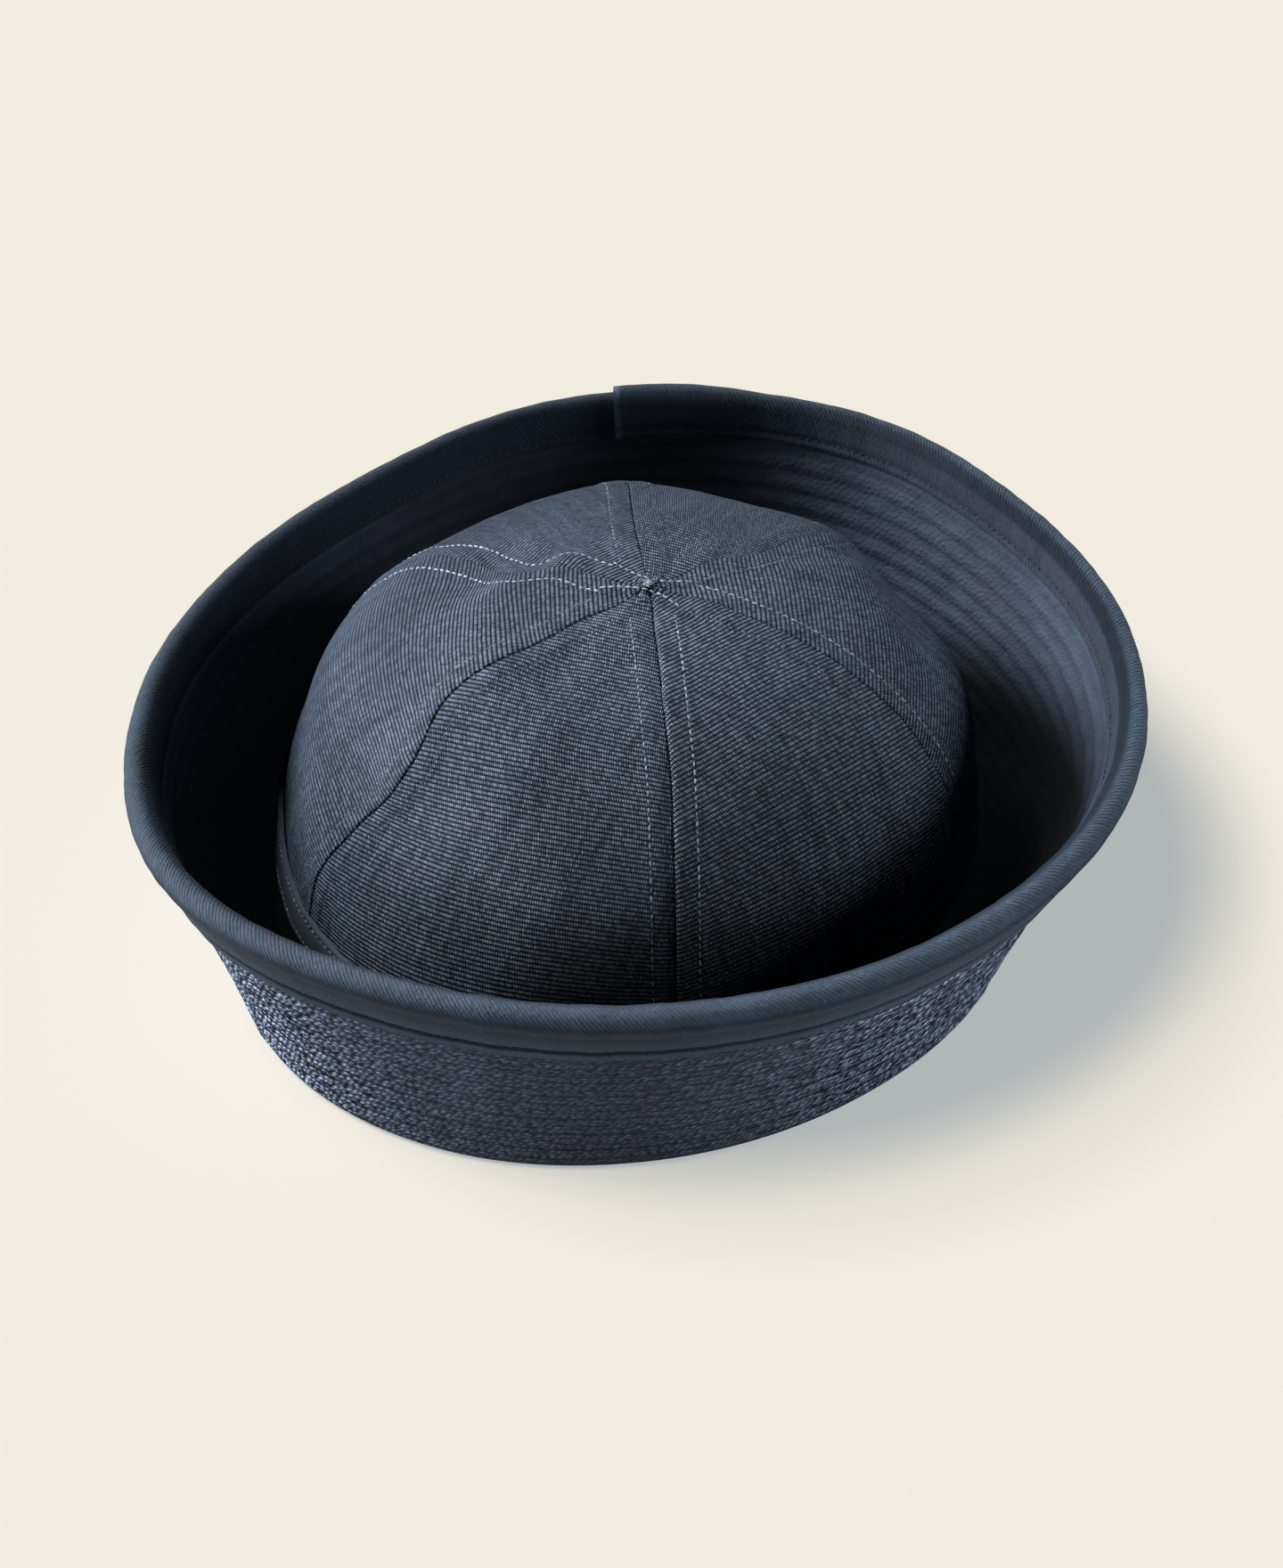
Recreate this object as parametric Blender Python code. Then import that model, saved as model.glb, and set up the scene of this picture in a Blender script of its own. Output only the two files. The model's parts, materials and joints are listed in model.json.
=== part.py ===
"""Sailor cap resting crown up: six crown panels, a band round their base, a quilted brim turned
up all the way round, and a bound brim edge. The front faces -Y and the cap stands on its fold."""
import math

import bmesh
import bpy
from mathutils import Vector

MM = 0.001

# cloth and gaps, millimetres
PANEL_CLOTH = 1.2       # crown twill with its seam allowance
QUILT = 2.8             # stitched layers of the brim
BAND_CLOTH = 1.1
BINDING_CLOTH = 1.25
GAP = 0.3               # between neighbouring pieces

# crown, millimetres and degrees of elevation seen from the dome centre
DOME_RADIUS = 90.9
DOME_HEIGHT = 89.0
DOME_POWER = 2.63       # 2 is a round dome, more is a flatter top and straighter side
DOME_CENTRE = Vector((-0.9, -0.8, 14.0))
APEX_LEAN = Vector((13.3, -1.4, 0.0))
APEX_ELEVATION = 88.2
PANEL_BASE = 35.2       # height of the panels' lower edge

# brim, millimetres
FOLD_RADIUS = 4.5       # outside of the turned fold
BRIM_LENGTH = 78.0      # from the fold to the top edge, along the cloth
BRIM_BOW = -4.4         # degrees the wall opens less at its foot and more at its edge
LEG_TOP = 34.5          # height of the edge sewn to the crown
LEG_KNEE = 29.8         # height above which the leg follows the crown

# band and edge binding, millimetres
BAND_BOTTOM = 30.8
BAND_TOP = 39.6
BINDING_OUTSIDE = 19.2
BINDING_INSIDE = 10.0
BINDING_END = 85.4      # azimuth of the end that lies on top
BINDING_OVERLAP = 6.0   # degrees
BINDING_RAMP = 16.0     # degrees over which the top end lifts

# columns and rows of the meshes
PANEL_GRID = (10, 15)
RING_STEPS = 64
BAND_STEPS = 56

# how far the cloth stands out of the plain dome, millimetres, one row per section of the crown
CROWN_ELEVATIONS = (90.0, 78.0, 64.0, 50.0, 38.0, 27.0, 16.0, 4.0)
CROWN_SECTIONS = [
    # azimuth, tip, out_78, out_64, out_50, out_38, out_27, out_16, foot
    (-180, 0.0, -0.4, -0.8, -2.4, -3.8, -4.1, -4.6, -2.3),
    (-150, 0.0, -0.8, 0.4, -5.6, -9.3, -3.4, -2.6, -1.3),
    (-120, 0.0, -0.6, -1.4, -4.0, -5.1, -1.8, 1.9, 0.9),
    (-90, 0.0, -0.9, -1.6, -1.7, -1.4, -0.4, 0.7, 0.3),
    (-60, 0.0, -0.5, -1.1, -0.7, 0.3, 0.8, 0.7, 0.4),
    (-30, 0.0, 0.2, -1.2, -0.8, 0.9, 2.4, 1.0, 0.5),
    (0, 0.0, -0.6, -1.0, -0.1, 0.6, 4.0, 0.7, 0.4),
    (30, 0.0, -1.2, -1.5, 2.5, 0.5, 2.3, 1.4, 0.7),
    (60, 0.0, -0.5, -0.1, 0.7, 1.8, 2.0, 1.4, 0.7),
    (90, 0.0, -0.1, 1.3, 3.8, 3.1, 2.4, 1.5, 0.7),
    (120, 0.0, -0.1, 0.3, 1.9, 3.0, 2.5, 1.6, 0.8),
    (150, 0.0, -0.2, -1.7, 1.6, 2.7, 0.3, 0.8, 0.4),
]

# soft dents and swells on top of the sections
CROWN_FOLDS = [
    # azimuth, elevation, out, half width in degrees of azimuth, half width in elevation
    (148.0, 60.0, -2.2, 13.0, 6.0),
    (165.0, 68.0, 1.2, 16.0, 6.0),
    (-150.0, 44.0, 1.2, 9.0, 5.0),
    (14.0, 44.0, -1.6, 12.0, 7.0),
]

# brim fold and flare, one row per section
BRIM_SECTIONS = [
    # azimuth, fold centre radius, flare in degrees from upright
    (-180, 97.5, 9.9),
    (-150, 98.1, 17.2),
    (-120, 95.8, 19.3),
    (-90, 93.0, 23.6),
    (-60, 92.8, 26.9),
    (-30, 95.1, 26.8),
    (0, 94.0, 24.2),
    (30, 95.7, 18.8),
    (60, 97.3, 23.2),
    (90, 97.7, 16.5),
    (120, 96.4, 5.1),
    (150, 96.6, 4.5),
]

# crown seams in order round the cap
SEAMS = [
    # place, azimuth at the tip, turn towards the base, panel that follows it
    ("front", -86.4, 2.8, "front_right"),
    ("front_right", -28.2, 2.8, "right"),
    ("back_right", 31.1, 0.2, "back_right"),
    ("back", 90.4, -6.6, "back_left"),
    ("back_left", 149.9, -10.3, "left"),
    ("front_left", 210.3, -5.5, "front_left"),
]

# middle of the whole cap, so that it stands centred on the origin
CENTRE = Vector((6.58, -0.54, 0.0))

CLOTHS = {
    # name: colour, roughness
    "crown_twill": ((0.030, 0.047, 0.072, 1.0), 0.85),
    "brim_quilting": ((0.034, 0.040, 0.066, 1.0), 0.90),
    "binding_twill": ((0.025, 0.036, 0.052, 1.0), 0.80),
}


def around(rows, column, azimuth):
    """Value of one column at an azimuth, smooth all the way round."""
    place = ((azimuth + 180.0) % 360.0) / 360.0 * len(rows)
    first = int(place)
    t = place - first
    a, b, c, d = (rows[(first + k) % len(rows)][column] for k in (-1, 0, 1, 2))
    return 0.5 * (2 * b + (c - a) * t + (2 * a - 5 * b + 4 * c - d) * t * t
                  + (3 * b - a - 3 * c + d) * t ** 3)


def along(stations, values, x):
    """Smooth value between descending stations."""
    last = len(stations) - 1
    k = max(0, min(last - 1, sum(1 for s in stations[1:-1] if x < s)))
    h = stations[k + 1] - stations[k]
    t = (x - stations[k]) / h

    def slope(i):
        lo, hi = max(0, i - 1), min(last, i + 1)
        return (values[hi] - values[lo]) / (stations[hi] - stations[lo]) * h

    m0, m1, p0, p1 = slope(k), slope(k + 1), values[k], values[k + 1]
    return ((2 * t ** 3 - 3 * t * t + 1) * p0 + (t ** 3 - 2 * t * t + t) * m0
            + (3 * t * t - 2 * t ** 3) * p1 + (t ** 3 - t * t) * m1)


def crown_point(azimuth, elevation):
    """Outer face of the crown."""
    az, el = math.radians(azimuth), math.radians(elevation)
    flat, rise = math.cos(el), math.sin(el)
    reach = ((flat / DOME_RADIUS) ** DOME_POWER
             + (max(rise, 0.0) / DOME_HEIGHT) ** DOME_POWER) ** (-1 / DOME_POWER)
    columns = [around(CROWN_SECTIONS, 1 + k, azimuth) for k in range(len(CROWN_ELEVATIONS))]
    reach += along(CROWN_ELEVATIONS, columns, elevation)
    for fold_az, fold_el, out, wide, tall in CROWN_FOLDS:
        turn = (azimuth - fold_az + 180.0) % 360.0 - 180.0
        reach += out * math.exp(-(turn / wide) ** 2 - ((elevation - fold_el) / tall) ** 2)
    return (DOME_CENTRE + APEX_LEAN * rise ** 2
            + Vector((flat * math.cos(az), flat * math.sin(az), rise)) * reach)


def crown_normal(azimuth, elevation):
    step = 0.4
    side = crown_point(azimuth + step, elevation) - crown_point(azimuth - step, elevation)
    up = crown_point(azimuth, elevation + step) - crown_point(azimuth, elevation - step)
    return side.cross(up).normalized()


def crown_at_height(azimuth, height):
    """Point and outward direction where the crown's outer face passes a height."""
    low, high = 2.0, 60.0
    for _ in range(22):
        middle = 0.5 * (low + high)
        if crown_point(azimuth, middle).z < height:
            low = middle
        else:
            high = middle
    return crown_point(azimuth, low), crown_normal(azimuth, low), low


def brim_section(azimuth):
    """Fold centre radius and flare at an azimuth."""
    return around(BRIM_SECTIONS, 1, azimuth), around(BRIM_SECTIONS, 2, azimuth)


def brim_wall(azimuth, length, inward=0.0):
    """Radius and height on the flared wall, at a length from its foot, pushed inward."""
    fold, flare = brim_section(azimuth)
    foot = math.radians(flare + BRIM_BOW)
    radius = fold + FOLD_RADIUS * math.cos(foot)
    height = FOLD_RADIUS - FOLD_RADIUS * math.sin(foot)
    pieces = 8
    for k in range(pieces):
        part = (k + 0.5) / pieces * length / BRIM_LENGTH
        lean = math.radians(flare + BRIM_BOW * (1 - 2 * part))
        radius += math.sin(lean) * length / pieces
        height += math.cos(lean) * length / pieces
    lean = math.radians(flare + BRIM_BOW * (1 - 2 * length / BRIM_LENGTH))
    return radius - math.cos(lean) * inward, height + math.sin(lean) * inward


def on_ring(azimuth, radius, height):
    az = math.radians(azimuth)
    return Vector((radius * math.cos(az), radius * math.sin(az), height))


def rim_turn(radius, angle):
    """Length and depth of a point on a turn over the brim's top edge."""
    half, a = QUILT / 2, math.radians(angle)
    return BRIM_LENGTH - half + radius * math.sin(a), half - radius * math.cos(a)


def brim_loop(azimuth):
    """Closed section of the quilted brim: leg, fold, flared wall and back down its other face."""
    fold, flare = brim_section(azimuth)
    foot = math.radians(90.0 - flare - BRIM_BOW)
    inner = FOLD_RADIUS - QUILT
    seat, out, _ = crown_at_height(azimuth, LEG_TOP)
    knee = crown_at_height(azimuth, LEG_KNEE)[0]
    through = Vector((out.x, out.y, 0.0)).normalized() * QUILT
    low_in = on_ring(azimuth, fold - FOLD_RADIUS, FOLD_RADIUS)
    low_out = on_ring(azimuth, fold - inner, FOLD_RADIUS)
    loop = [seat - through, knee - through, (knee - through).lerp(low_in, 0.5)]
    for k in range(7):
        turn = -math.pi / 2 + k / 6 * (foot + math.pi / 2)
        loop.append(on_ring(azimuth, fold + FOLD_RADIUS * math.sin(turn),
                            FOLD_RADIUS * (1 - math.cos(turn))))
    half = QUILT / 2
    straight = BRIM_LENGTH - half
    for k in range(1, 7):
        loop.append(on_ring(azimuth, *brim_wall(azimuth, straight * k / 6)))
    for a in (45, 90, 135):
        loop.append(on_ring(azimuth, *brim_wall(azimuth, *rim_turn(half, a))))
    for k in range(6, 0, -1):
        loop.append(on_ring(azimuth, *brim_wall(azimuth, straight * k / 6, QUILT)))
    for k in range(4, -1, -1):
        turn = -math.pi / 2 + k / 4 * (foot + math.pi / 2)
        loop.append(on_ring(azimuth, fold + inner * math.sin(turn),
                            FOLD_RADIUS - inner * math.cos(turn)))
    loop += [low_out.lerp(knee, 0.5), knee, seat]
    return loop


def binding_loop(azimuth, lift):
    """Closed section of the folded edge strip; lift carries the end that lies on top."""
    near, far = GAP + lift, GAP + lift + BINDING_CLOTH
    half = QUILT / 2
    loop = []
    for spread, way in ((far, 1), (near, -1)):
        outside = [(BRIM_LENGTH - BINDING_OUTSIDE * (1 - k / 2), -spread) for k in (0, 1)]
        over = [rim_turn(half + spread, a) for a in (0, 45, 90, 135, 180)]
        inside = [(BRIM_LENGTH - BINDING_INSIDE * (k + 1) / 3, QUILT + spread) for k in (1, 2)]
        path = outside + over + inside
        loop += [on_ring(azimuth, *brim_wall(azimuth, *step)) for step in path[::way]]
    return loop


def band_loop(azimuth):
    """Closed section of the strip round the foot of the crown."""
    loop = []
    for spread, way in ((GAP + BAND_CLOTH, 1), (GAP, -1)):
        heights = [BAND_BOTTOM + (BAND_TOP - BAND_BOTTOM) * k / 3 for k in range(4)]
        face = []
        for height in heights:
            point, out, _ = crown_at_height(azimuth, height)
            face.append(point + out * spread)
        loop += face[::way]
    return loop


def finish(bm, name, cloth):
    """Turn a mesh into a smooth shaded object of one cloth."""
    bmesh.ops.recalc_face_normals(bm, faces=bm.faces)
    bmesh.ops.translate(bm, vec=-CENTRE, verts=bm.verts)
    bmesh.ops.scale(bm, vec=(MM, MM, MM), verts=bm.verts)
    mesh = bpy.data.meshes.new(name)
    bm.to_mesh(mesh)
    bm.free()
    obj = bpy.data.objects.new(name, mesh)
    bpy.context.scene.collection.objects.link(obj)
    mesh.materials.append(cloth)
    mesh.shade_smooth()
    mesh.set_sharp_from_angle(angle=math.radians(50.0))
    return obj


def ring(name, cloth, loops, closed=True):
    """Skin a row of closed sections, joined end to end or capped."""
    rows, columns = len(loops), len(loops[0])
    bm = bmesh.new()
    bmesh.ops.create_grid(bm, x_segments=columns, y_segments=rows - (0 if closed else 1), size=1.0)
    grid = {}
    for vert in bm.verts:
        column = round((vert.co.x + 1) / 2 * columns) % columns
        row = round((vert.co.y + 1) / 2 * (rows - (0 if closed else 1)))
        grid[vert] = loops[row % rows][column]
    for vert, place in grid.items():
        vert.co = place
    bmesh.ops.remove_doubles(bm, verts=bm.verts, dist=0.001)
    if not closed:
        bmesh.ops.holes_fill(bm, edges=[e for e in bm.edges if e.is_boundary], sides=0)
        bmesh.ops.triangulate(bm, faces=[f for f in bm.faces if len(f.verts) > 4])
    return finish(bm, name, cloth)


def seam_azimuth(seam, elevation):
    return seam[1] + seam[2] * (1 - elevation / 90.0)


def panel(name, cloth, seam, following):
    """One crown panel between two seams, a cloth wall with an edge all round."""
    columns, rows = PANEL_GRID
    bm = bmesh.new()
    bmesh.ops.create_grid(bm, x_segments=columns, y_segments=rows, size=1.0)
    places = []
    for vert in bm.verts:
        across, down = (vert.co.x + 1) / 2, (vert.co.y + 1) / 2
        middle = 0.5 * (seam[1] + following[1])
        base = crown_at_height(middle, PANEL_BASE)[2]
        for _ in range(2):
            elevation = APEX_ELEVATION + (base - APEX_ELEVATION) * down
            start, end = seam_azimuth(seam, elevation), seam_azimuth(following, elevation)
            reach = DOME_RADIUS * math.cos(math.radians(elevation))
            margin = math.degrees((GAP / 2 + 0.05) / reach)
            azimuth = start + margin + (end - start - 2 * margin) * across
            base = crown_at_height(azimuth, PANEL_BASE)[2]
        places.append((vert, crown_point(azimuth, elevation), crown_normal(azimuth, elevation)))
    inner = bmesh.ops.duplicate(bm, geom=list(bm.faces))
    twin = inner["vert_map"]
    for vert, point, out in places:
        vert.co = point
        twin[vert].co = point - out * PANEL_CLOTH
    bmesh.ops.bridge_loops(bm, edges=[e for e in bm.edges if e.is_boundary])
    return finish(bm, name, cloth)


def cloth_material(name):
    colour, roughness = CLOTHS[name]
    material = bpy.data.materials.new(name)
    material.use_nodes = True
    shader = material.node_tree.nodes["Principled BSDF"]
    shader.inputs["Base Color"].default_value = colour
    shader.inputs["Roughness"].default_value = roughness
    shader.inputs["Metallic"].default_value = 0.0
    material.diffuse_color = colour
    return material


def build():
    for obj in list(bpy.data.objects):
        bpy.data.objects.remove(obj, do_unlink=True)
    cloths = {name: cloth_material(name) for name in CLOTHS}

    last = SEAMS[0][:1] + (SEAMS[0][1] + 360.0,) + SEAMS[0][2:]
    for seam, following in zip(SEAMS, SEAMS[1:] + [last]):
        panel("crown_panel_" + seam[3], cloths["crown_twill"], seam, following)

    ring("crown_base_band", cloths["crown_twill"],
         [band_loop(360.0 * k / BAND_STEPS) for k in range(BAND_STEPS)])
    ring("brim", cloths["brim_quilting"],
         [brim_loop(360.0 * k / RING_STEPS) for k in range(RING_STEPS)])

    strip = []
    for k in range(RING_STEPS + 3):
        run = (360.0 + BINDING_OVERLAP) * k / (RING_STEPS + 2)
        rise = (run - 360.0 + BINDING_RAMP) / BINDING_RAMP
        rise = max(0.0, min(1.0, rise))
        lift = (BINDING_CLOTH + GAP) * rise * rise * (3 - 2 * rise)
        strip.append(binding_loop(BINDING_END - BINDING_OVERLAP + run, lift))
    ring("brim_binding", cloths["binding_twill"], strip, closed=False)


build()
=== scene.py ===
"""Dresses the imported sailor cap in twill, quilting and thread, and sets it on a pale floor.

The soft pieces are cut again from the same sections as their solids, at a finer step, with the
pressed seams, topstitching, quilted rows and edge strip of the real cap. Lengths in the tables are
millimetres and angles degrees. The front faces -Y and the cap stands on its brim fold."""
import json
import math
from collections import namedtuple
from contextlib import contextmanager
from types import SimpleNamespace

import bmesh
import bpy
import numpy as np
from bpy.props import FloatProperty, FloatVectorProperty, IntProperty, PointerProperty
from mathutils import Matrix, Vector

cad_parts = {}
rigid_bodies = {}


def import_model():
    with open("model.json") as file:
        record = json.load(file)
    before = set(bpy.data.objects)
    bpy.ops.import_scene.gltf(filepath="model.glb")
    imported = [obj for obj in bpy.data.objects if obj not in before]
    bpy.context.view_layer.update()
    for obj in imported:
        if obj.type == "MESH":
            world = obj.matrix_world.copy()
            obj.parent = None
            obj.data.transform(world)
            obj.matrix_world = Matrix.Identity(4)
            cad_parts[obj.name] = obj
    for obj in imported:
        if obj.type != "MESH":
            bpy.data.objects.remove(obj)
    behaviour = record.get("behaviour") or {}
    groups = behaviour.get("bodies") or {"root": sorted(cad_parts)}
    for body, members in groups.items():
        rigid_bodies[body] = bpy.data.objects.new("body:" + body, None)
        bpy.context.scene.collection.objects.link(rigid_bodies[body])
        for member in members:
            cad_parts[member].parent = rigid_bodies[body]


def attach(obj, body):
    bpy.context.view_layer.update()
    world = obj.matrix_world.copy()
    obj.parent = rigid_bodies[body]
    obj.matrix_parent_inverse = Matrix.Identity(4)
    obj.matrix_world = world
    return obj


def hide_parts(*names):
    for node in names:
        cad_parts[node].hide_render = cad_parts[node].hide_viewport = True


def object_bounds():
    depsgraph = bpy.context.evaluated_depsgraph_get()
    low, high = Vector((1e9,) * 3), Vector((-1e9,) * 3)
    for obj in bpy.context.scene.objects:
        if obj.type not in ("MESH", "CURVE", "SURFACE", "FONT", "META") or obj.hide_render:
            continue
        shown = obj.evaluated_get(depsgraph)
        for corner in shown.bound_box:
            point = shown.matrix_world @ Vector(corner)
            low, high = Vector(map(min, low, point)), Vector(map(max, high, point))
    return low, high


bl_info = {
    "name": "Sailor cap cloth",
    "version": (1, 0, 0),
    "blender": (4, 5, 0),
    "location": "View3D > Sidebar > Sailor cap",
    "description": "Twill crown, quilted brim, edge strip and thread of a sailor cap, "
                   "with its studio",
    "category": "Object",
}

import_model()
CAD_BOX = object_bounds()
MM = 0.001

# the solids' own sections, in millimetres from the middle of the fold ring
PANEL_CLOTH = 1.2
QUILT = 2.8
BAND_CLOTH = 1.1
BINDING_CLOTH = 1.25
GAP = 0.3
DOME_RADIUS = 90.9
DOME_HEIGHT = 89.0
DOME_POWER = 2.63
DOME_CENTRE = np.array((-0.9, -0.8, 14.0))
APEX_LEAN = np.array((13.3, -1.4, 0.0))
TIP_ELEVATION = 89.5
PANEL_BASE = 35.2
FOLD_RADIUS = 4.5
BRIM_LENGTH = 78.0
BRIM_BOW = -4.4
LEG_TOP = 34.5
LEG_KNEE = 29.8
BAND_BOTTOM = 30.8
BAND_TOP = 39.6
BINDING_OUTSIDE = 19.2
BINDING_INSIDE = 10.0
BINDING_END = 85.4
BINDING_OVERLAP = 6.0
BINDING_RAMP = 16.0
BINDING_START = BINDING_END - BINDING_OVERLAP
BINDING_GROOVE = 4.8
BINDING_GROOVE_INSIDE = 1.9
CENTRE = np.array((6.58, -0.54, 0.0))

# places along the brim's section, from the foot of its outer wall over the rim
RIM_TOP = 79.0
INSIDE_START = 81.0

CROWN_ELEVATIONS = (90.0, 78.0, 64.0, 50.0, 38.0, 27.0, 16.0, 4.0)
CROWN_SECTIONS = [
    # azimuth, tip, out_78, out_64, out_50, out_38, out_27, out_16, foot
    (-180, 0.0, -0.4, -0.8, -2.4, -3.8, -4.1, -4.6, -2.3),
    (-150, 0.0, -0.8, 0.4, -5.6, -9.3, -3.4, -2.6, -1.3),
    (-120, 0.0, -0.6, -1.4, -4.0, -5.1, -1.8, 1.9, 0.9),
    (-90, 0.0, -0.9, -1.6, -1.7, -1.4, -0.4, 0.7, 0.3),
    (-60, 0.0, -0.5, -1.1, -0.7, 0.3, 0.8, 0.7, 0.4),
    (-30, 0.0, 0.2, -1.2, -0.8, 0.9, 2.4, 1.0, 0.5),
    (0, 0.0, -0.6, -1.0, -0.1, 0.6, 4.0, 0.7, 0.4),
    (30, 0.0, -1.2, -1.5, 2.5, 0.5, 2.3, 1.4, 0.7),
    (60, 0.0, -0.5, -0.1, 0.7, 1.8, 2.0, 1.4, 0.7),
    (90, 0.0, -0.1, 1.3, 3.8, 3.1, 2.4, 1.5, 0.7),
    (120, 0.0, -0.1, 0.3, 1.9, 3.0, 2.5, 1.6, 0.8),
    (150, 0.0, -0.2, -1.7, 1.6, 2.7, 0.3, 0.8, 0.4),
]
CROWN_FOLDS = [
    # azimuth, elevation, out, half width in azimuth, half width in elevation
    (148.0, 60.0, -2.2, 13.0, 6.0),
    (165.0, 68.0, 1.2, 16.0, 6.0),
    (-150.0, 44.0, 1.2, 9.0, 5.0),
    (14.0, 44.0, -1.6, 12.0, 7.0),
]
BRIM_SECTIONS = [
    # azimuth, fold centre radius, flare from upright
    (-180, 97.5, 9.9),
    (-150, 98.1, 17.2),
    (-120, 95.8, 19.3),
    (-90, 93.0, 23.6),
    (-60, 92.8, 26.9),
    (-30, 95.1, 26.8),
    (0, 94.0, 24.2),
    (30, 95.7, 18.8),
    (60, 97.3, 23.2),
    (90, 97.7, 16.5),
    (120, 96.4, 5.1),
    (150, 96.6, 4.5),
]
Seam = namedtuple("Seam", "place azimuth turn panel")
SEAMS = [
    # place, azimuth at the tip, turn towards the base, panel that follows it
    Seam("front", -86.4, 2.8, "front_right"),
    Seam("front_right", -28.2, 2.8, "right"),
    Seam("back_right", 31.1, 0.2, "back_right"),
    Seam("back", 90.4, -6.6, "back_left"),
    Seam("back_left", 149.9, -10.3, "left"),
    Seam("front_left", 210.3, -5.5, "front_left"),
]
Look = namedtuple("Look", "rise roll after before")
SEAM_LOOKS = {
    # seam: rise of the following panel's edge, its roll, thread tone on it and on the panel before
    "front": Look(0.90, 1.5, 1.10, 0.80),
    "front_right": Look(0.0, 0.6, 1.25, 0.15),
    "back_right": Look(-0.30, 0.5, 0.20, 0.35),
    "back": Look(0.0, 0.5, 0.35, 0.15),
    "back_left": Look(0.50, 0.7, 1.1, 1.15),
    "front_left": Look(-0.30, 0.6, 0.12, 0.45),
}
PLAIN_ROLL = 0.5

SMALL_FOLDS = [
    # azimuth, elevation, out, half width in azimuth, half width in elevation
    (136.0, 74.8, 1.3, 7.0, 2.6),
    (139.5, 68.6, -1.2, 8.0, 2.8),
    (136.0, 62.6, -0.7, 7.0, 3.5),
    (162.0, 67.7, 0.8, 7.0, 2.6),
    (161.0, 75.0, 0.8, 7.0, 2.6),
    (-153.5, 43.1, 1.0, 8.0, 7.0),
    (-120.0, 54.8, 0.9, 6.0, 7.0),
    (-130.0, 67.1, -0.9, 9.0, 5.0),
    (-166.0, 64.4, 0.6, 9.0, 5.0),
    (-44.0, 29.6, -1.2, 6.0, 8.0),
    (24.0, 49.4, -1.2, 5.0, 5.0),
    (13.5, 62.9, 0.8, 6.0, 4.0),
]

# how far a seam wanders sideways off its plain run, degrees of azimuth at an elevation
BEND_ELEVATIONS = (90.0, 84.0, 80.0, 76.0, 72.5, 69.0, 64.0, 60.0, 56.0, 52.5, 49.5, 46.0, 41.5,
                   36.0, 30.0, 22.0, 14.0)
SEAM_BENDS = {
    "front": (0, -1.5, -1.6, -1.0, -0.7, -0.5, -0.2, 0.0, 0.3, 0.5, 0.5, 0.4, 0.3, 0.2, 0, -0.2, 0),
    "front_right": (0, 1.5, 1.4, 0.2, -0.8, -0.5, 0, 0, 0.1, -0.1, -0.2, 0.1, 0.2, 0, -0.4,
                    -0.5, 0),
    "back_right": (0, 1.0, 2.4, 1.0, -2.0, -2.4, -1.3, 0, 0.1, 0.5, 2.0, 3.0, 2.5, 1.5, 0.5, 0, 0),
    "back": (0, 1.5, 1.8, 1.7, 1.4, 1.0, 0.3, -0.2, -0.5, -0.4, 0, 0, 0, 0, 0, 0, 0),
    "back_left": (0, -2.0, -1.5, -3.4, -2.0, 3.0, -0.5, -4.0, -5.4, -5.6, -5.4, -5.0, -3.6,
                  -2.0, -0.5, 0, 0),
    "front_left": (0, 0.5, -1.2, -0.5, 2.0, 1.9, -0.3, -2.4, -2.8, -0.9, 1.7, 3.4, 2.8,
                   0.5, 0, -1.2, 0),
}

# grid of a crown panel: columns counted from a seam edge, those between, rows along the spine
EDGE_COLUMNS = (0.0, 0.1, 0.25, 0.45, 0.7, 1.1, 1.8, 2.7, 3.6, 4.4, 5.0, 5.4, 5.8, 6.3, 7.0, 8.0)
MIDDLE_COLUMNS = 26
FULL_WIDTH = 12.0
PANEL_ROW = 0.85
SEEN_GAP = 0.08

# columns of the rings' grids
BAND_COLUMNS = 421
BRIM_COLUMNS = 385
BINDING_COLUMNS = 660

# crown cloth by a seam: rise of the pressed allowance, depth of the line pulled in by the thread
PRESSED = 0.42
PULLED_IN = 0.34

# weave of the crown: sideways lean of the yarns over a rib, their step from rib to rib, unevenness
TWILL_SLANT = -0.34
TWILL_STEP = 0.37
TWILL_WANDER = 0.10

# stitches heaped at the tip and the turn from one to the next
TIP_STITCHES = 16
TIP_TURN = 137.5

# stitches round the base band and the edge strip, and the band's stitching from its edges
BAND_STITCHES = 240
BINDING_STITCHES = 330
BAND_INSET = 1.3

# length that a full turn of a ring is given in its weave
BAND_RUN = 600.0
BINDING_RUN = 760.0

# angle in degrees that stays a sharp edge, and metres within which points merge
SHARP_EDGE = 60.0
MERGE = 1e-7


# ---------------------------------------------------------------- sizes and colours

def length(name, description, default):
    """A size, given here in millimetres and kept in metres."""
    return FloatProperty(name=name, description=description, default=default * MM,
                         unit="LENGTH", precision=5)


def colour(name, description, default):
    return FloatVectorProperty(name=name, description=description, default=default,
                               subtype="COLOR", size=3)


class CapCloth(bpy.types.PropertyGroup):
    rib: length("Twill rib", "Distance from one twill rib to the next", 1.17)
    yarn: length("Yarn", "Distance between yarns along a rib", 0.64)
    crown: colour("Crown", "Colour of the crown twill", (0.0435, 0.0577, 0.0785))
    brim: colour("Brim", "Colour of the quilted brim", (0.0475, 0.0625, 0.098))
    binding: colour("Edge strip", "Colour of the edge strip", (0.0208, 0.035, 0.0579))
    thread: colour("Topstitching", "Colour of the worn thread", (0.20, 0.27, 0.34))
    brim_thread: colour("Brim thread", "Colour of the brim thread", (0.060, 0.072, 0.112))


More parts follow.
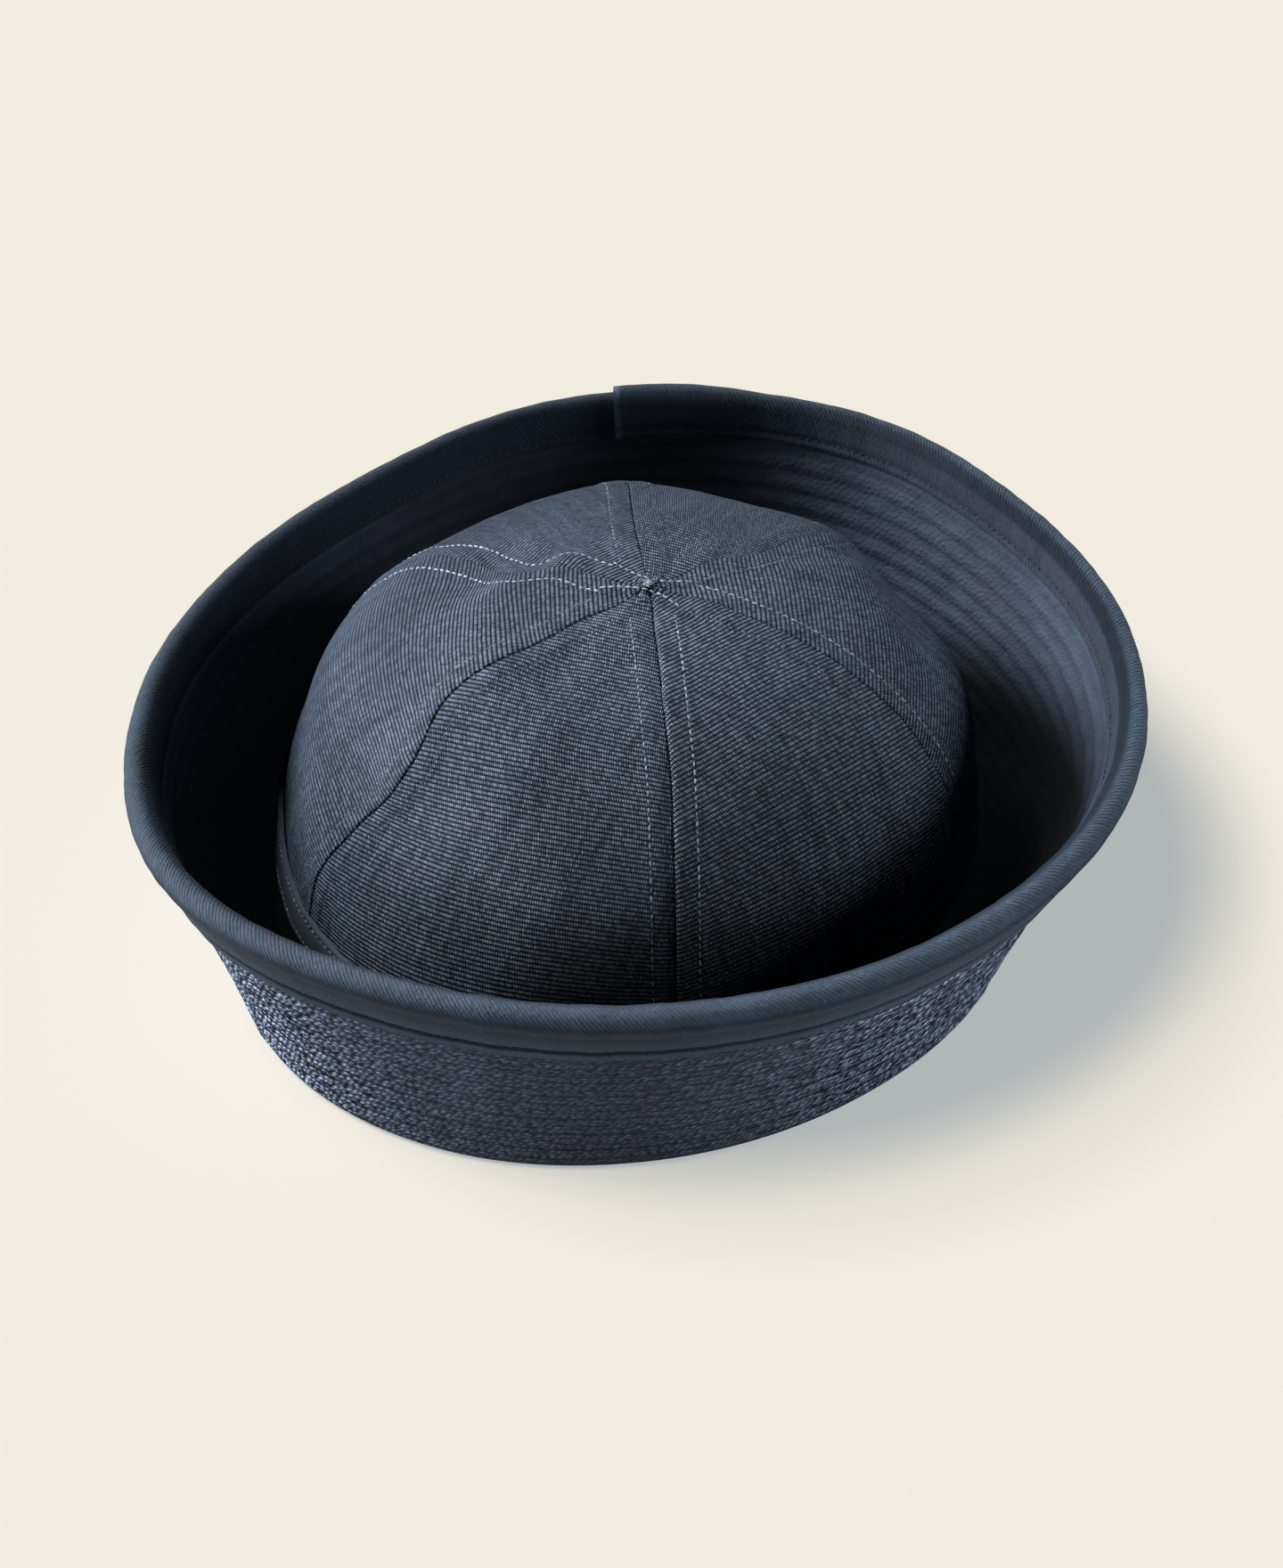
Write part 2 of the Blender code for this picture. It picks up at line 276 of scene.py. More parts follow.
class CapSewing(bpy.types.PropertyGroup):
    stitch: length("Stitch", "Distance from one stitch to the next", 2.1)
    thickness: length("Thread", "Thickness of the sewing thread", 0.55)
    topstitch: length("Topstitch", "Distance of topstitching from a seam", 5.6)
    allowance: length("Seam allowance", "Cloth pressed flat by each seam", 6.8)
    outside_pitch: length("Rows outside", "Pitch of the rows outside", 4.05)
    inside_pitch: length("Rows inside", "Pitch of the ridges inside", 5.4)
    puff_outside: length("Puff outside", "Height of cloth between rows", 0.42)
    puff_inside: length("Puff inside", "Height of the inside ridges", 0.80)
    around: IntProperty(name="Stitches round", description="Stitches in one brim row",
                        default=286, min=100)


class CapStudio(bpy.types.PropertyGroup):
    lens: FloatProperty(name="Lens", description="Focal length on a 36 mm sensor",
                        default=85.96, unit="CAMERA")
    floor: colour("Floor", "Colour of the floor", (0.48, 0.459, 0.408))
    glow: colour("Floor fill", "Even light of the floor itself", (0.43, 0.454, 0.454))


def cloth():
    return bpy.context.scene.cap_cloth


def sewing():
    """Sizes of the sewing in millimetres, and its count of stitches."""
    group = bpy.context.scene.cap_sewing
    sizes = {name: getattr(group, name) / MM for name in group.__annotations__}
    return SimpleNamespace(**{**sizes, "around": group.around})


# ---------------------------------------------------------------- surfaces

def around(rows, column, azimuth):
    """Value of one column at an azimuth, smooth all the way round."""
    values = np.array([row[column] for row in rows], float)
    place = ((azimuth + 180.0) % 360.0) / 360.0 * len(rows)
    first = np.floor(place).astype(int)
    t = place - first
    a, b, c, d = (values[(first + k) % len(rows)] for k in (-1, 0, 1, 2))
    return 0.5 * (2 * b + (c - a) * t + (2 * a - 5 * b + 4 * c - d) * t * t
                  + (3 * b - a - 3 * c + d) * t ** 3)


def along(stations, values, x):
    """Smooth value between descending stations; values holds one array for each station."""
    stations = np.array(stations, float)
    values = np.stack([np.broadcast_to(v, x.shape) for v in values])
    last = len(stations) - 1
    k = np.clip(sum((x < s).astype(int) for s in stations[1:-1]), 0, last - 1)

    def value(i):
        return np.take_along_axis(values, i[None], axis=0)[0]

    h = stations[k + 1] - stations[k]
    t = (x - stations[k]) / h

    def slope(i):
        lo, hi = np.maximum(0, i - 1), np.minimum(last, i + 1)
        return (value(hi) - value(lo)) / (stations[hi] - stations[lo]) * h

    m0, m1, p0, p1 = slope(k), slope(k + 1), value(k), value(k + 1)
    return ((2 * t ** 3 - 3 * t * t + 1) * p0 + (t ** 3 - 2 * t * t + t) * m0
            + (3 * t * t - 2 * t ** 3) * p1 + (t ** 3 - t * t) * m1)


def folds(table, azimuth, elevation):
    """Height of soft folds, each a row of place, rise and half widths."""
    total = 0.0
    for fold_az, fold_el, rise, wide, tall in table:
        turn = (azimuth - fold_az + 180.0) % 360.0 - 180.0
        total = total + rise * np.exp(-(turn / wide) ** 2 - ((elevation - fold_el) / tall) ** 2)
    return total


def crown(azimuth, elevation):
    """Outer face of the crown."""
    azimuth, elevation = np.broadcast_arrays(np.asarray(azimuth, float),
                                             np.asarray(elevation, float))
    az, el = np.radians(azimuth), np.radians(elevation)
    flat, rise = np.cos(el), np.sin(el)
    reach = ((np.abs(flat) / DOME_RADIUS) ** DOME_POWER
             + (np.maximum(rise, 0.0) / DOME_HEIGHT) ** DOME_POWER) ** (-1 / DOME_POWER)
    columns = [around(CROWN_SECTIONS, 1 + k, azimuth) for k in range(len(CROWN_ELEVATIONS))]
    reach = reach + along(CROWN_ELEVATIONS, columns, elevation)
    reach = reach + folds(CROWN_FOLDS, azimuth, elevation)
    way = np.stack([flat * np.cos(az), flat * np.sin(az), rise], -1)
    return DOME_CENTRE + APEX_LEAN * (rise ** 2)[..., None] + way * reach[..., None]


def unit(v):
    """The vectors at length 1."""
    return v / np.maximum(np.linalg.norm(v, axis=-1, keepdims=True), 1e-12)


def crown_normal(azimuth, elevation):
    """Outward direction of the crown's outer face."""
    step = 0.4
    side = crown(azimuth + step, elevation) - crown(azimuth - step, elevation)
    up = crown(azimuth, elevation + step) - crown(azimuth, elevation - step)
    return unit(np.cross(side, up))


def crown_elevation(azimuth, height):
    """Elevation where the crown's outer face passes a height."""
    low, high = np.full(azimuth.shape, 2.0), np.full(azimuth.shape, 60.0)
    for _ in range(24):
        middle = 0.5 * (low + high)
        under = crown(azimuth, middle)[..., 2] < height
        low, high = np.where(under, middle, low), np.where(under, high, middle)
    return low


def brim_wall(azimuth, length, inward=0.0):
    """Point on the flared wall at a length from its foot, pushed inward."""
    azimuth, length = np.broadcast_arrays(np.asarray(azimuth, float), np.asarray(length, float))
    fold, flare = around(BRIM_SECTIONS, 1, azimuth), around(BRIM_SECTIONS, 2, azimuth)
    foot = np.radians(flare + BRIM_BOW)
    radius = fold + FOLD_RADIUS * np.cos(foot)
    height = FOLD_RADIUS - FOLD_RADIUS * np.sin(foot)
    pieces = 8
    for k in range(pieces):
        part = (k + 0.5) / pieces * length / BRIM_LENGTH
        lean = np.radians(flare + BRIM_BOW * (1 - 2 * part))
        radius = radius + np.sin(lean) * length / pieces
        height = height + np.cos(lean) * length / pieces
    lean = np.radians(flare + BRIM_BOW * (1 - 2 * length / BRIM_LENGTH))
    return on_ring(azimuth, radius - np.cos(lean) * inward, height + np.sin(lean) * inward)


def on_ring(azimuth, radius, height):
    """Point at an azimuth, a radius and a height."""
    az = np.radians(azimuth)
    return np.stack(np.broadcast_arrays(radius * np.cos(az), radius * np.sin(az), height), -1)


def rim_turn(radius, angle):
    """Length and depth of a point on a turn over the brim's top edge."""
    half, a = QUILT / 2, np.radians(angle)
    return BRIM_LENGTH - half + radius * np.sin(a), half - radius * np.cos(a)


def smooth(x, low, high):
    """0 up to a low value and 1 from a high one, easing between."""
    t = np.clip((x - low) / (high - low), 0.0, 1.0)
    return t * t * (3 - 2 * t)


def ripple(points, size, seed):
    """Gentle unevenness around 0 at a size in millimetres, the same in each run."""
    rng = np.random.RandomState(seed)
    total = np.zeros(points.shape[:-1])
    waves = 9
    for _ in range(waves):
        way = rng.normal(size=3)
        way *= 2 * math.pi / (size * rng.uniform(0.7, 1.6)) / np.linalg.norm(way)
        total += np.sin(points @ way + rng.uniform(0, 2 * math.pi))
    return total / (waves / 2)


def between(x, stations, points):
    """Points read off a line of them at places between its stations."""
    return np.stack([np.interp(x, stations, points[:, k]) for k in range(3)], -1)


# ---------------------------------------------------------------- mesh making

@contextmanager
def shaping(mesh):
    """Open a mesh as a bmesh and write it back at the end."""
    bm = bmesh.new()
    bm.from_mesh(mesh)
    yield bm
    bm.to_mesh(mesh)
    bm.free()


def grid_mesh(name, places, weave, closed=False):
    """A grid laid on rows of places, with its weave map in metres, merged where it closes."""
    rows, columns = places.shape[0] - 1, places.shape[1] - 1
    mesh = bpy.data.meshes.new(name)
    with shaping(mesh) as bm:
        bm.loops.layers.uv.new("weave")
        bmesh.ops.create_grid(bm, x_segments=columns, y_segments=rows, size=1.0)
    flat = np.empty(len(mesh.vertices) * 3)
    mesh.vertices.foreach_get("co", flat)
    flat = flat.reshape(-1, 3)
    i = np.rint((flat[:, 0] + 1) / 2 * columns).astype(int)
    j = np.rint((flat[:, 1] + 1) / 2 * rows).astype(int)
    mesh.vertices.foreach_set("co", ((places[j, i] - CENTRE) * MM).ravel())
    corner = np.empty(len(mesh.loops), int)
    mesh.loops.foreach_get("vertex_index", corner)
    mesh.uv_layers["weave"].data.foreach_set("uv", weave[j[corner], i[corner]].ravel())
    if closed:
        with shaping(mesh) as bm:
            bmesh.ops.remove_doubles(bm, verts=bm.verts, dist=MERGE)
    return mesh


def finish_piece(mesh, material, *nodes):
    """Close the mesh into a smooth shaded piece that rides on the cap and stands for its solids."""
    with shaping(mesh) as bm:
        loose = [e for e in bm.edges if e.is_boundary]
        if loose:
            bmesh.ops.holes_fill(bm, edges=loose, sides=0)
            bmesh.ops.triangulate(bm, faces=[f for f in bm.faces if len(f.verts) > 4])
        bmesh.ops.recalc_face_normals(bm, faces=bm.faces)
    mesh.shade_smooth()
    mesh.set_sharp_from_angle(angle=math.radians(SHARP_EDGE))
    mesh.materials.append(material)
    piece = bpy.data.objects.new(mesh.name, mesh)
    bpy.context.scene.collection.objects.link(piece)
    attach(piece, "root")
    if nodes:
        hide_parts(*nodes)
    return piece


def thread_object(name, places, directions, normals, tones, length, thick, material, slot, seed):
    """Joined stitches, each a flattened spindle half sunk in the cloth, with a tone of its own."""
    rng = np.random.RandomState(seed)
    tones = np.broadcast_to(tones, len(places))
    bead = bpy.data.meshes.new(name + "_bead")
    with shaping(bead) as bm:
        bmesh.ops.create_uvsphere(bm, u_segments=5, v_segments=4, radius=0.5)
        bmesh.ops.rotate(bm, cent=(0, 0, 0), matrix=Matrix.Rotation(math.pi / 2, 3, "Y"),
                         verts=bm.verts)
        bm.loops.layers.uv.new("tone")
    mesh = bpy.data.meshes.new(name)
    with shaping(mesh) as whole:
        for place, way, out, tone in zip(places, unit(directions), unit(normals), tones):
            tone = tone * rng.uniform(0.50, 1.15)
            bead.uv_layers["tone"].data.foreach_set("uv", [tone, 0.5] * len(bead.loops))
            side = np.cross(out, way)
            turn = rng.normal(0.0, 0.07)
            way = way * math.cos(turn) + side * math.sin(turn)
            side = np.cross(out, way)
            size = (length * rng.uniform(0.85, 1.1), thick * rng.uniform(0.85, 1.2), thick * 0.75)
            basis = np.stack([way * size[0], side * size[1], out * size[2]], 1)
            spot = (place - CENTRE + out * rng.normal(0.12 * min(tone, 1.0) - 0.06, 0.03)) * MM
            matrix = Matrix.Translation(Vector(spot)) @ Matrix((basis * MM).tolist()).to_4x4()
            bead.transform(matrix)
            whole.from_mesh(bead)
            bead.transform(matrix.inverted())
    bpy.data.meshes.remove(bead)
    piece = finish_piece(mesh, material)


def steps_along(line, spacing):
    """Places at even spacing on a polyline, their directions and marks, and the line's lengths."""
    lengths = np.concatenate([[0.0], np.cumsum(np.linalg.norm(np.diff(line, axis=0), axis=1))])
    marks = np.arange(0.5 * spacing, lengths[-1], spacing)
    ways = between(marks + 0.3, lengths, line) - between(marks - 0.3, lengths, line)
    return between(marks, lengths, line), ways, marks, lengths


# ---------------------------------------------------------------- shader maths

class Wire:
    """One output socket. Arithmetic on it adds Math nodes to its tree."""

    def __init__(self, shader, socket):
        self.shader, self.socket = shader, socket

    def math(self, operation, *others):
        return self.shader.node("ShaderNodeMath", {"operation": operation}, (self, *others))

    def __add__(self, other):
        return self.math("ADD", other)

    def __radd__(self, other):
        return self.math("ADD", other)

    def __sub__(self, other):
        return self.math("SUBTRACT", other)

    def __rsub__(self, other):
        return self.shader.node("ShaderNodeMath", {"operation": "SUBTRACT"}, (other, self))

    def __mul__(self, other):
        return self.math("MULTIPLY", other)

    def __rmul__(self, other):
        return self.math("MULTIPLY", other)

    def __truediv__(self, other):
        return self.math("DIVIDE", other)

    def __pow__(self, other):
        return self.math("POWER", other)

    def floor(self):
        return self.math("FLOOR")

    def fract(self):
        return self.math("FRACT")

    def size(self):
        return self.math("ABSOLUTE")

    def wave(self):
        """Cosine of a count of turns, from 0 to 1."""
        return (self * (2 * math.pi)).math("COSINE") * 0.5 + 0.5

    def at_least(self, low):
        return self.math("MAXIMUM", low)

    def at_most(self, high):
        return self.math("MINIMUM", high)

    def clamp(self):
        return self.at_least(0.0).at_most(1.0)

    def mound(self, middle, half):
        """1 at the middle, falling to 0 at half a width from it."""
        return (1.0 - ((self - middle) / half) ** 2.0).clamp()


class Shader:
    """A material's node tree, with one method that makes any node."""

    def __init__(self, name):
        self.material = bpy.data.materials.new(name)
        self.material.use_nodes = True
        self.tree = self.material.node_tree
        self.surface = self.tree.nodes["Principled BSDF"]

    def node(self, kind, settings=None, inputs=(), output=0):
        made = self.tree.nodes.new(kind)
        for key, value in (settings or {}).items():
            setattr(made, key, value)
        pairs = inputs.items() if isinstance(inputs, dict) else enumerate(inputs)
        for key, value in pairs:
            self.feed(made.inputs[key], value)
        return Wire(self, made.outputs[output])

    def feed(self, socket, value):
        if isinstance(value, Wire):
            self.tree.links.new(value.socket, socket)
        else:
            socket.default_value = value

    def set(self, **values):
        for key, value in values.items():
            socket = key.replace("_", " ").title().replace("Ior", "IOR")
            self.feed(self.surface.inputs[socket], value)

    def noise(self, place, scale, detail=2.0, rough=0.5):
        return self.node("ShaderNodeTexNoise", None,
                         {"Vector": place, "Scale": scale, "Detail": detail, "Roughness": rough})

    def pair(self, x, y):
        return self.node("ShaderNodeCombineXYZ", None, (x, y, 0.0))

    def split(self, vector, count=3):
        """The first numbers of a vector."""
        return [self.node("ShaderNodeSeparateXYZ", None, (vector,), output=k)
                for k in range(count)]

    def speck(self, x, y):
        """A random value for each whole pair of numbers."""
        return self.node("ShaderNodeTexWhiteNoise", {"noise_dimensions": "2D"},
                         {"Vector": self.pair(x, y)})

    def blend(self, factor, under, over, kind="MIX"):
        """One colour going over into another, each a wire or three numbers."""
        under, over = (c if isinstance(c, Wire) else (*c, 1.0) for c in (under, over))
        return self.node("ShaderNodeMix", {"data_type": "RGBA", "blend_type": kind},
                         {0: factor, 6: under, 7: over}, output=2)

    def hues(self, colour, cool, warm, where):
        """The colour leaning to one hue or another from place to place."""
        lean = ((where - 0.5) * 3.0 + 0.5).clamp()
        return self.blend(lean, tinted(colour, cool), tinted(colour, warm))

    def scaled(self, colour, amount):
        spread = self.node("ShaderNodeCombineColor", None, (amount, amount, amount))
        return self.blend(1.0, colour, spread, "MULTIPLY")

    def bump(self, height, distance, strength=1.0):
        return self.node("ShaderNodeBump", None,
                         {"Strength": strength, "Distance": distance, "Height": height})

    def place(self):
        return self.node("ShaderNodeTexCoord", None, (), output=3)

    def map(self, name):
        """The two numbers of one of the piece's own maps."""
        return self.split(self.node("ShaderNodeUVMap", {"uv_map": name}), 2)

    def weave(self):
        """The weave map in millimetres; round a ring, thousandths of a turn and millimetres."""
        return (part * 1000.0 for part in self.map("weave"))


def tinted(colour, tint):
    """The colour with its parts scaled, by one number or by three."""
    tint = (tint,) * 3 if isinstance(tint, float) else tint
    return tuple(a * b for a, b in zip(colour, tint))


def facing(turn, azimuth, start=0.0):
    """1 where thousandths of a turn, counted from a start, point to an azimuth, and 0 opposite."""
    return (turn * 0.001 + (start - azimuth) / 360.0).wave()


def twill(shader, u, v, pitch, yarn):
    """Height of a ribbed twill and a random tone for each yarn float."""
    place = shader.place()
    drift, fine = shader.noise(place, 260.0, 2.0), shader.noise(place, 900.0, 1.0)
    v = v + (drift - 0.5) * (TWILL_WANDER * 2) + (fine - 0.5) * TWILL_WANDER
    ribs = v / pitch
    row, rib = ribs.floor(), ribs.fract()
    across = 1.0 - (rib * 2.0 - 1.0).size() ** 2.6
    yarns = (u + rib * (TWILL_SLANT * pitch)) / yarn + row * TWILL_STEP
    cell, part = yarns.floor(), yarns.fract()
    bead = 1.0 - (part * 2.0 - 1.0).size() ** 2.0
    return across * (bead * 0.6 + 0.4), shader.speck(cell, row)


def twill_material():
    """Ribbed twill of the crown, with painted light that makes it paler on its front and left,
    painted shade between its ribs, and bluer towards the back.
    """
    c = cloth()
    s = Shader("crown_twill")
    u, v = s.weave()
    height, tone = twill(s, u, v, c.rib / MM, c.yarn / MM)
    place = s.place()
    streak = s.noise(s.pair(u * 0.35, v * 0.02), 1.0, 2.0)
    slub = s.noise(s.pair(u * 1.2, v * 0.03 + 7.0), 1.0, 2.0)
    cloud = s.noise(place, 38.0, 3.0, 0.55)

    # ribs show crisply at the front and softly at the back; x, y and z are in decimetres
    x, y, z = (part * 10.0 for part in s.split(place))
    contrast = (1.05 - y + x.at_most(0.0) * 0.35).clamp()
    # brightness follows the weave: painted shade in the gaps between ribs and yarns and a painted
    # highlight on their crests, with each yarn's own random tone
    light = height ** 2.0 * (tone * 1.4 + 0.75) - 0.62
    light = (light * contrast + 0.67).at_least(0.04)
    light = light * ((streak - 0.5) * 1.0 + 1.0) * ((slub - 0.5) * 0.5 + 1.0)
    light = light * ((cloud - 0.5) * 0.8 + 1.0)

    # painted light and shade: paler most at the left and low down, least at the back
    painted_light_shade = (2.122 - x * 0.826 + y * 0.081 - z * 2.057 - x * x * 1.008 - y * y * 1.772
             - x * y * 0.517 + x * z * 0.946 - y * z * 0.466)
    light = light * painted_light_shade.math("EXPONENT").at_least(0.65).at_most(1.5)
    hue = s.hues(c.crown, (0.96, 1.02, 1.02), (1.06, 0.98, 0.99), s.noise(place, 60.0, 2.0, 0.6))
    hue = s.blend((y * 0.8 + 0.5).clamp(), hue, tinted(c.crown, (0.92, 1.0, 1.14)))
    s.set(base_color=s.scaled(hue, light * 1.9), roughness=0.88 - height * 0.12,
          specular_ior_level=0.06, normal=s.bump(height + tone * 0.3 + streak * 0.3, 0.0006))
    return s.material


def quilting_material():
    """Cloth of the brim: pebbled puffs in stitched rows outside, soft ridges inside, with painted
    light and shade on both and a faint painted glow.
    """
    c, sew = cloth(), sewing()
    s = Shader("brim_quilting")
    turn, v = s.weave()
    count = turn * (sew.around / 1000.0)
    place = s.place()
    drift, grain = s.noise(place, 300.0, 2.0), s.noise(place, 1150.0, 2.0, 0.6)
    streak = s.noise(s.pair(count * 0.35, v * 0.30), 1.0, 3.0, 0.6)
    cloud = s.noise(place, 45.0, 2.0)
    inside = ((v - RIM_TOP) * 10.0).clamp()

    # slanted pebbles, sunk along each row and more along every other one
    slanted = count * 1.3 - v * 0.36 + (drift - 0.5) * 0.8
    pebble = {"Vector": s.pair(slanted, v / 1.62), "Scale": 1.0, "Randomness": 0.55}
    gap, tone = (s.node("ShaderNodeTexVoronoi", {"voronoi_dimensions": "2D"}, pebble, output=k)
                 for k in (0, 1))
    tone = s.split(tone, 1)[0]
    rows = v / sew.outside_pitch
    fine = (rows.fract() * 2.0 - 1.0).size() ** 8.0
    deep = ((rows * 0.5).fract() * 2.0 - 1.0).size() ** 12.0
    puff = (1.15 - gap * 1.5).clamp() * (1.0 - deep * 0.5) * (1.0 - fine * 0.25)
    height = puff * (1.0 - inside * 0.9) + grain * 0.16 + streak * inside * 0.2

    # outside: painted sheen, paler and crisper towards the left and right, and painted shade,
    # darker low down
    sides = facing(turn * 2.0, 2 * 172.0)
    # pebble tops lighter, their gaps and sunk rows darker: painted highlight and painted shade
    outer = puff ** 2.0 * (tone * 1.9 + 0.7) + grain * 0.15 - 0.75
    outer = (outer * ((sides * 2.5).clamp() * 0.8 + 0.55) + 0.75).at_least(0.04)
    outer = outer * (sides * 3.3 + 0.74).at_most(2.4) * (v * 0.012 + 0.73).at_most(1.03)

    # inside: ridges with painted light and shade, sinking into painted shade towards the trough,
    # deepest at the back
    shallow = ((facing(turn, 90.0) * 72.0 + 83.0 - v) / 20.0).clamp()
    ridge = ((v - INSIDE_START) / sew.inside_pitch).wave()
    inner = (streak * 0.7 + grain * 0.3 + 0.3) * (ridge * 0.3 + 0.85) * (shallow ** 1.4 + 0.012)
    inner = inner * (1.05 - facing(turn, 100.0) ** 3.0 * 0.78)

    light = (outer + (inner * 0.66 - outer) * inside) * ((cloud - 0.5) * 0.6 + 1.0)
    hue = s.hues(c.brim, (0.93, 1.03, 0.98), (1.08, 0.97, 1.03), s.noise(place, 110.0, 3.0, 0.6))
    fleck = ((grain - 0.62) * 7.0).clamp() * (1.0 - inside)
    base = s.blend(fleck * 0.2, s.scaled(hue, light * 1.5), c.brim_thread)
    # the faint emission is a painted glow that lifts the deepest shade of the brim
    s.set(base_color=base, roughness=0.92, specular_ior_level=0.08,
          emission_color=(0.0010, 0.0013, 0.0016, 1.0), emission_strength=1.0,
          normal=s.bump(height, 0.0014))
    return s.material


def binding_material():
    """Brushed cloth of the edge strip, with painted shade along its sewn groove, hem and inside,
    painted sheen along the rim, and painted light on its lower band, front and inside at the right.
    """
    c = cloth()
    s = Shader("binding_twill")
    turn, v = s.weave()
    u = turn * (BINDING_RUN / 1000.0)
    place = s.place()
    brushed = s.noise(s.pair(u * 1.3 + v * 0.9, v * 0.30), 1.0, 3.0, 0.6)
    cloud, fuzz = s.noise(place, 60.0, 3.0, 0.6), s.noise(place, 900.0, 3.0, 0.65)
    rib = ((u + v * 0.8) / 1.15 + (fuzz - 0.5) * 0.8).wave()
    front_shade, at_right, at_front, at_back = (
        facing(turn, azimuth, BINDING_START) ** power
        for azimuth, power in ((250.0, 3.0), (0.0, 4.0), (300.0, 2.0), (115.0, 2.0)))

    # v runs from the strip's outer edge over the rim to its inner edge
    # painted shade along the hem and along the sewn groove, strongest towards the front
    hem = (1.0 - v / 1.2).clamp() * front_shade
    groove = (1.8 - ((v - BINDING_GROOVE) * 1.1).size()).clamp() * front_shade
    # painted light on the lower band of the outside
    low = ((13.5 - v) / 6.5).clamp()
    # painted sheen along the rim top, weaker at the back, with stronger ribs and a warmer colour
    painted_rim_sheen = v.mound(23.2, 3.6)
    # painted shade on the strip's inside, weaker at the back
    within = ((v - 25.5) / 2.0).clamp()
    # painted shadow just inside the rim, at the right
    painted_shadow_line = v.mound(28.4, 2.4) * at_right
    # painted highlight on the edge of the lapped end
    lap = (turn - 1014.0).clamp()

    light = ((brushed - 0.5) * 0.8 + 1.0) * ((cloud - 0.5) * 0.6 + 1.0) * (fuzz * 0.8 + 0.60)
    light = light * (rib * (painted_rim_sheen * 0.25 + 0.1) + 0.9) * (1.0 - groove * 0.8)
    # painted light at the front
    light = light * (painted_rim_sheen * (1.25 - at_back * 0.8) + low * 0.50 + 0.60) * (at_front * 0.45 + 0.8)
    light = light * (1.0 - within * (0.35 - at_back * 0.15)) * (1.0 - painted_shadow_line * 0.35)
    # painted light on the inside at the right
    light = light * ((v - 29.8).clamp() * at_right + 1.0) * (1.0 - hem * 0.5) * (lap * 1.5 + 1.0)
    hue = s.hues(c.binding, (0.96, 1.02, 1.0), (1.04, 0.98, 1.0), s.noise(place, 75.0, 3.0, 0.6))
    hue = s.blend((v - 30.3).clamp() * at_right, hue, tinted(c.brim, 0.6))
    hue = s.blend(painted_rim_sheen, hue, tinted(c.binding, (0.95, 0.84, 0.73)))
    s.set(base_color=s.scaled(hue, light), roughness=0.86, specular_ior_level=0.08,
          sheen_weight=0.03, sheen_roughness=0.4,
          normal=s.bump(brushed * 0.6 + fuzz * 0.8 + rib * 0.3, 0.0004))
    return s.material


def thread_material(name, colour):
    """Two-ply thread that takes each stitch's own tone."""
    s = Shader(name)
    tone, _ = s.map("tone")
    ply = s.noise(s.place(), 2600.0, 1.0)
    base = s.scaled(colour, (tone * 0.95 + 0.05) * (ply * 0.8 + 0.6))
    s.set(base_color=base, roughness=0.75, specular_ior_level=0.3, normal=s.bump(ply, 0.0001))
    return s.material


def floor_material(colour, glow):
    """Pale paper with an even light of its own, none of it under the cap."""
    s = Shader("floor_paper")
    place = s.place()
    x, y = s.split(place, 2)
    open_floor = (((x * x + y * y) ** 0.5 - 0.085) * 300.0).clamp()
    fleck = s.noise(place, 160.0, 2.0) * 0.006 + 0.997
    s.set(base_color=s.scaled(colour, fleck), roughness=0.95, specular_ior_level=0.0,
          emission_color=s.scaled(glow, open_floor), emission_strength=1.0)
    return s.material


# ---------------------------------------------------------------- crown

def seam_azimuth(seam, elevation):
    """Azimuth of a seam on its way down, with its wanderings."""
    bends = [np.full(elevation.shape, b, float) for b in SEAM_BENDS[seam.place]]
    plain = seam.azimuth + seam.turn * (1 - elevation / 90.0)
    return plain + along(BEND_ELEVATIONS, bends, elevation)


def following(seam):
    """The next seam round the crown, a full turn on after the last."""
    k = SEAMS.index(seam) + 1
    if k < len(SEAMS):
        return SEAMS[k]
    return SEAMS[0]._replace(azimuth=SEAMS[0].azimuth + 360.0)


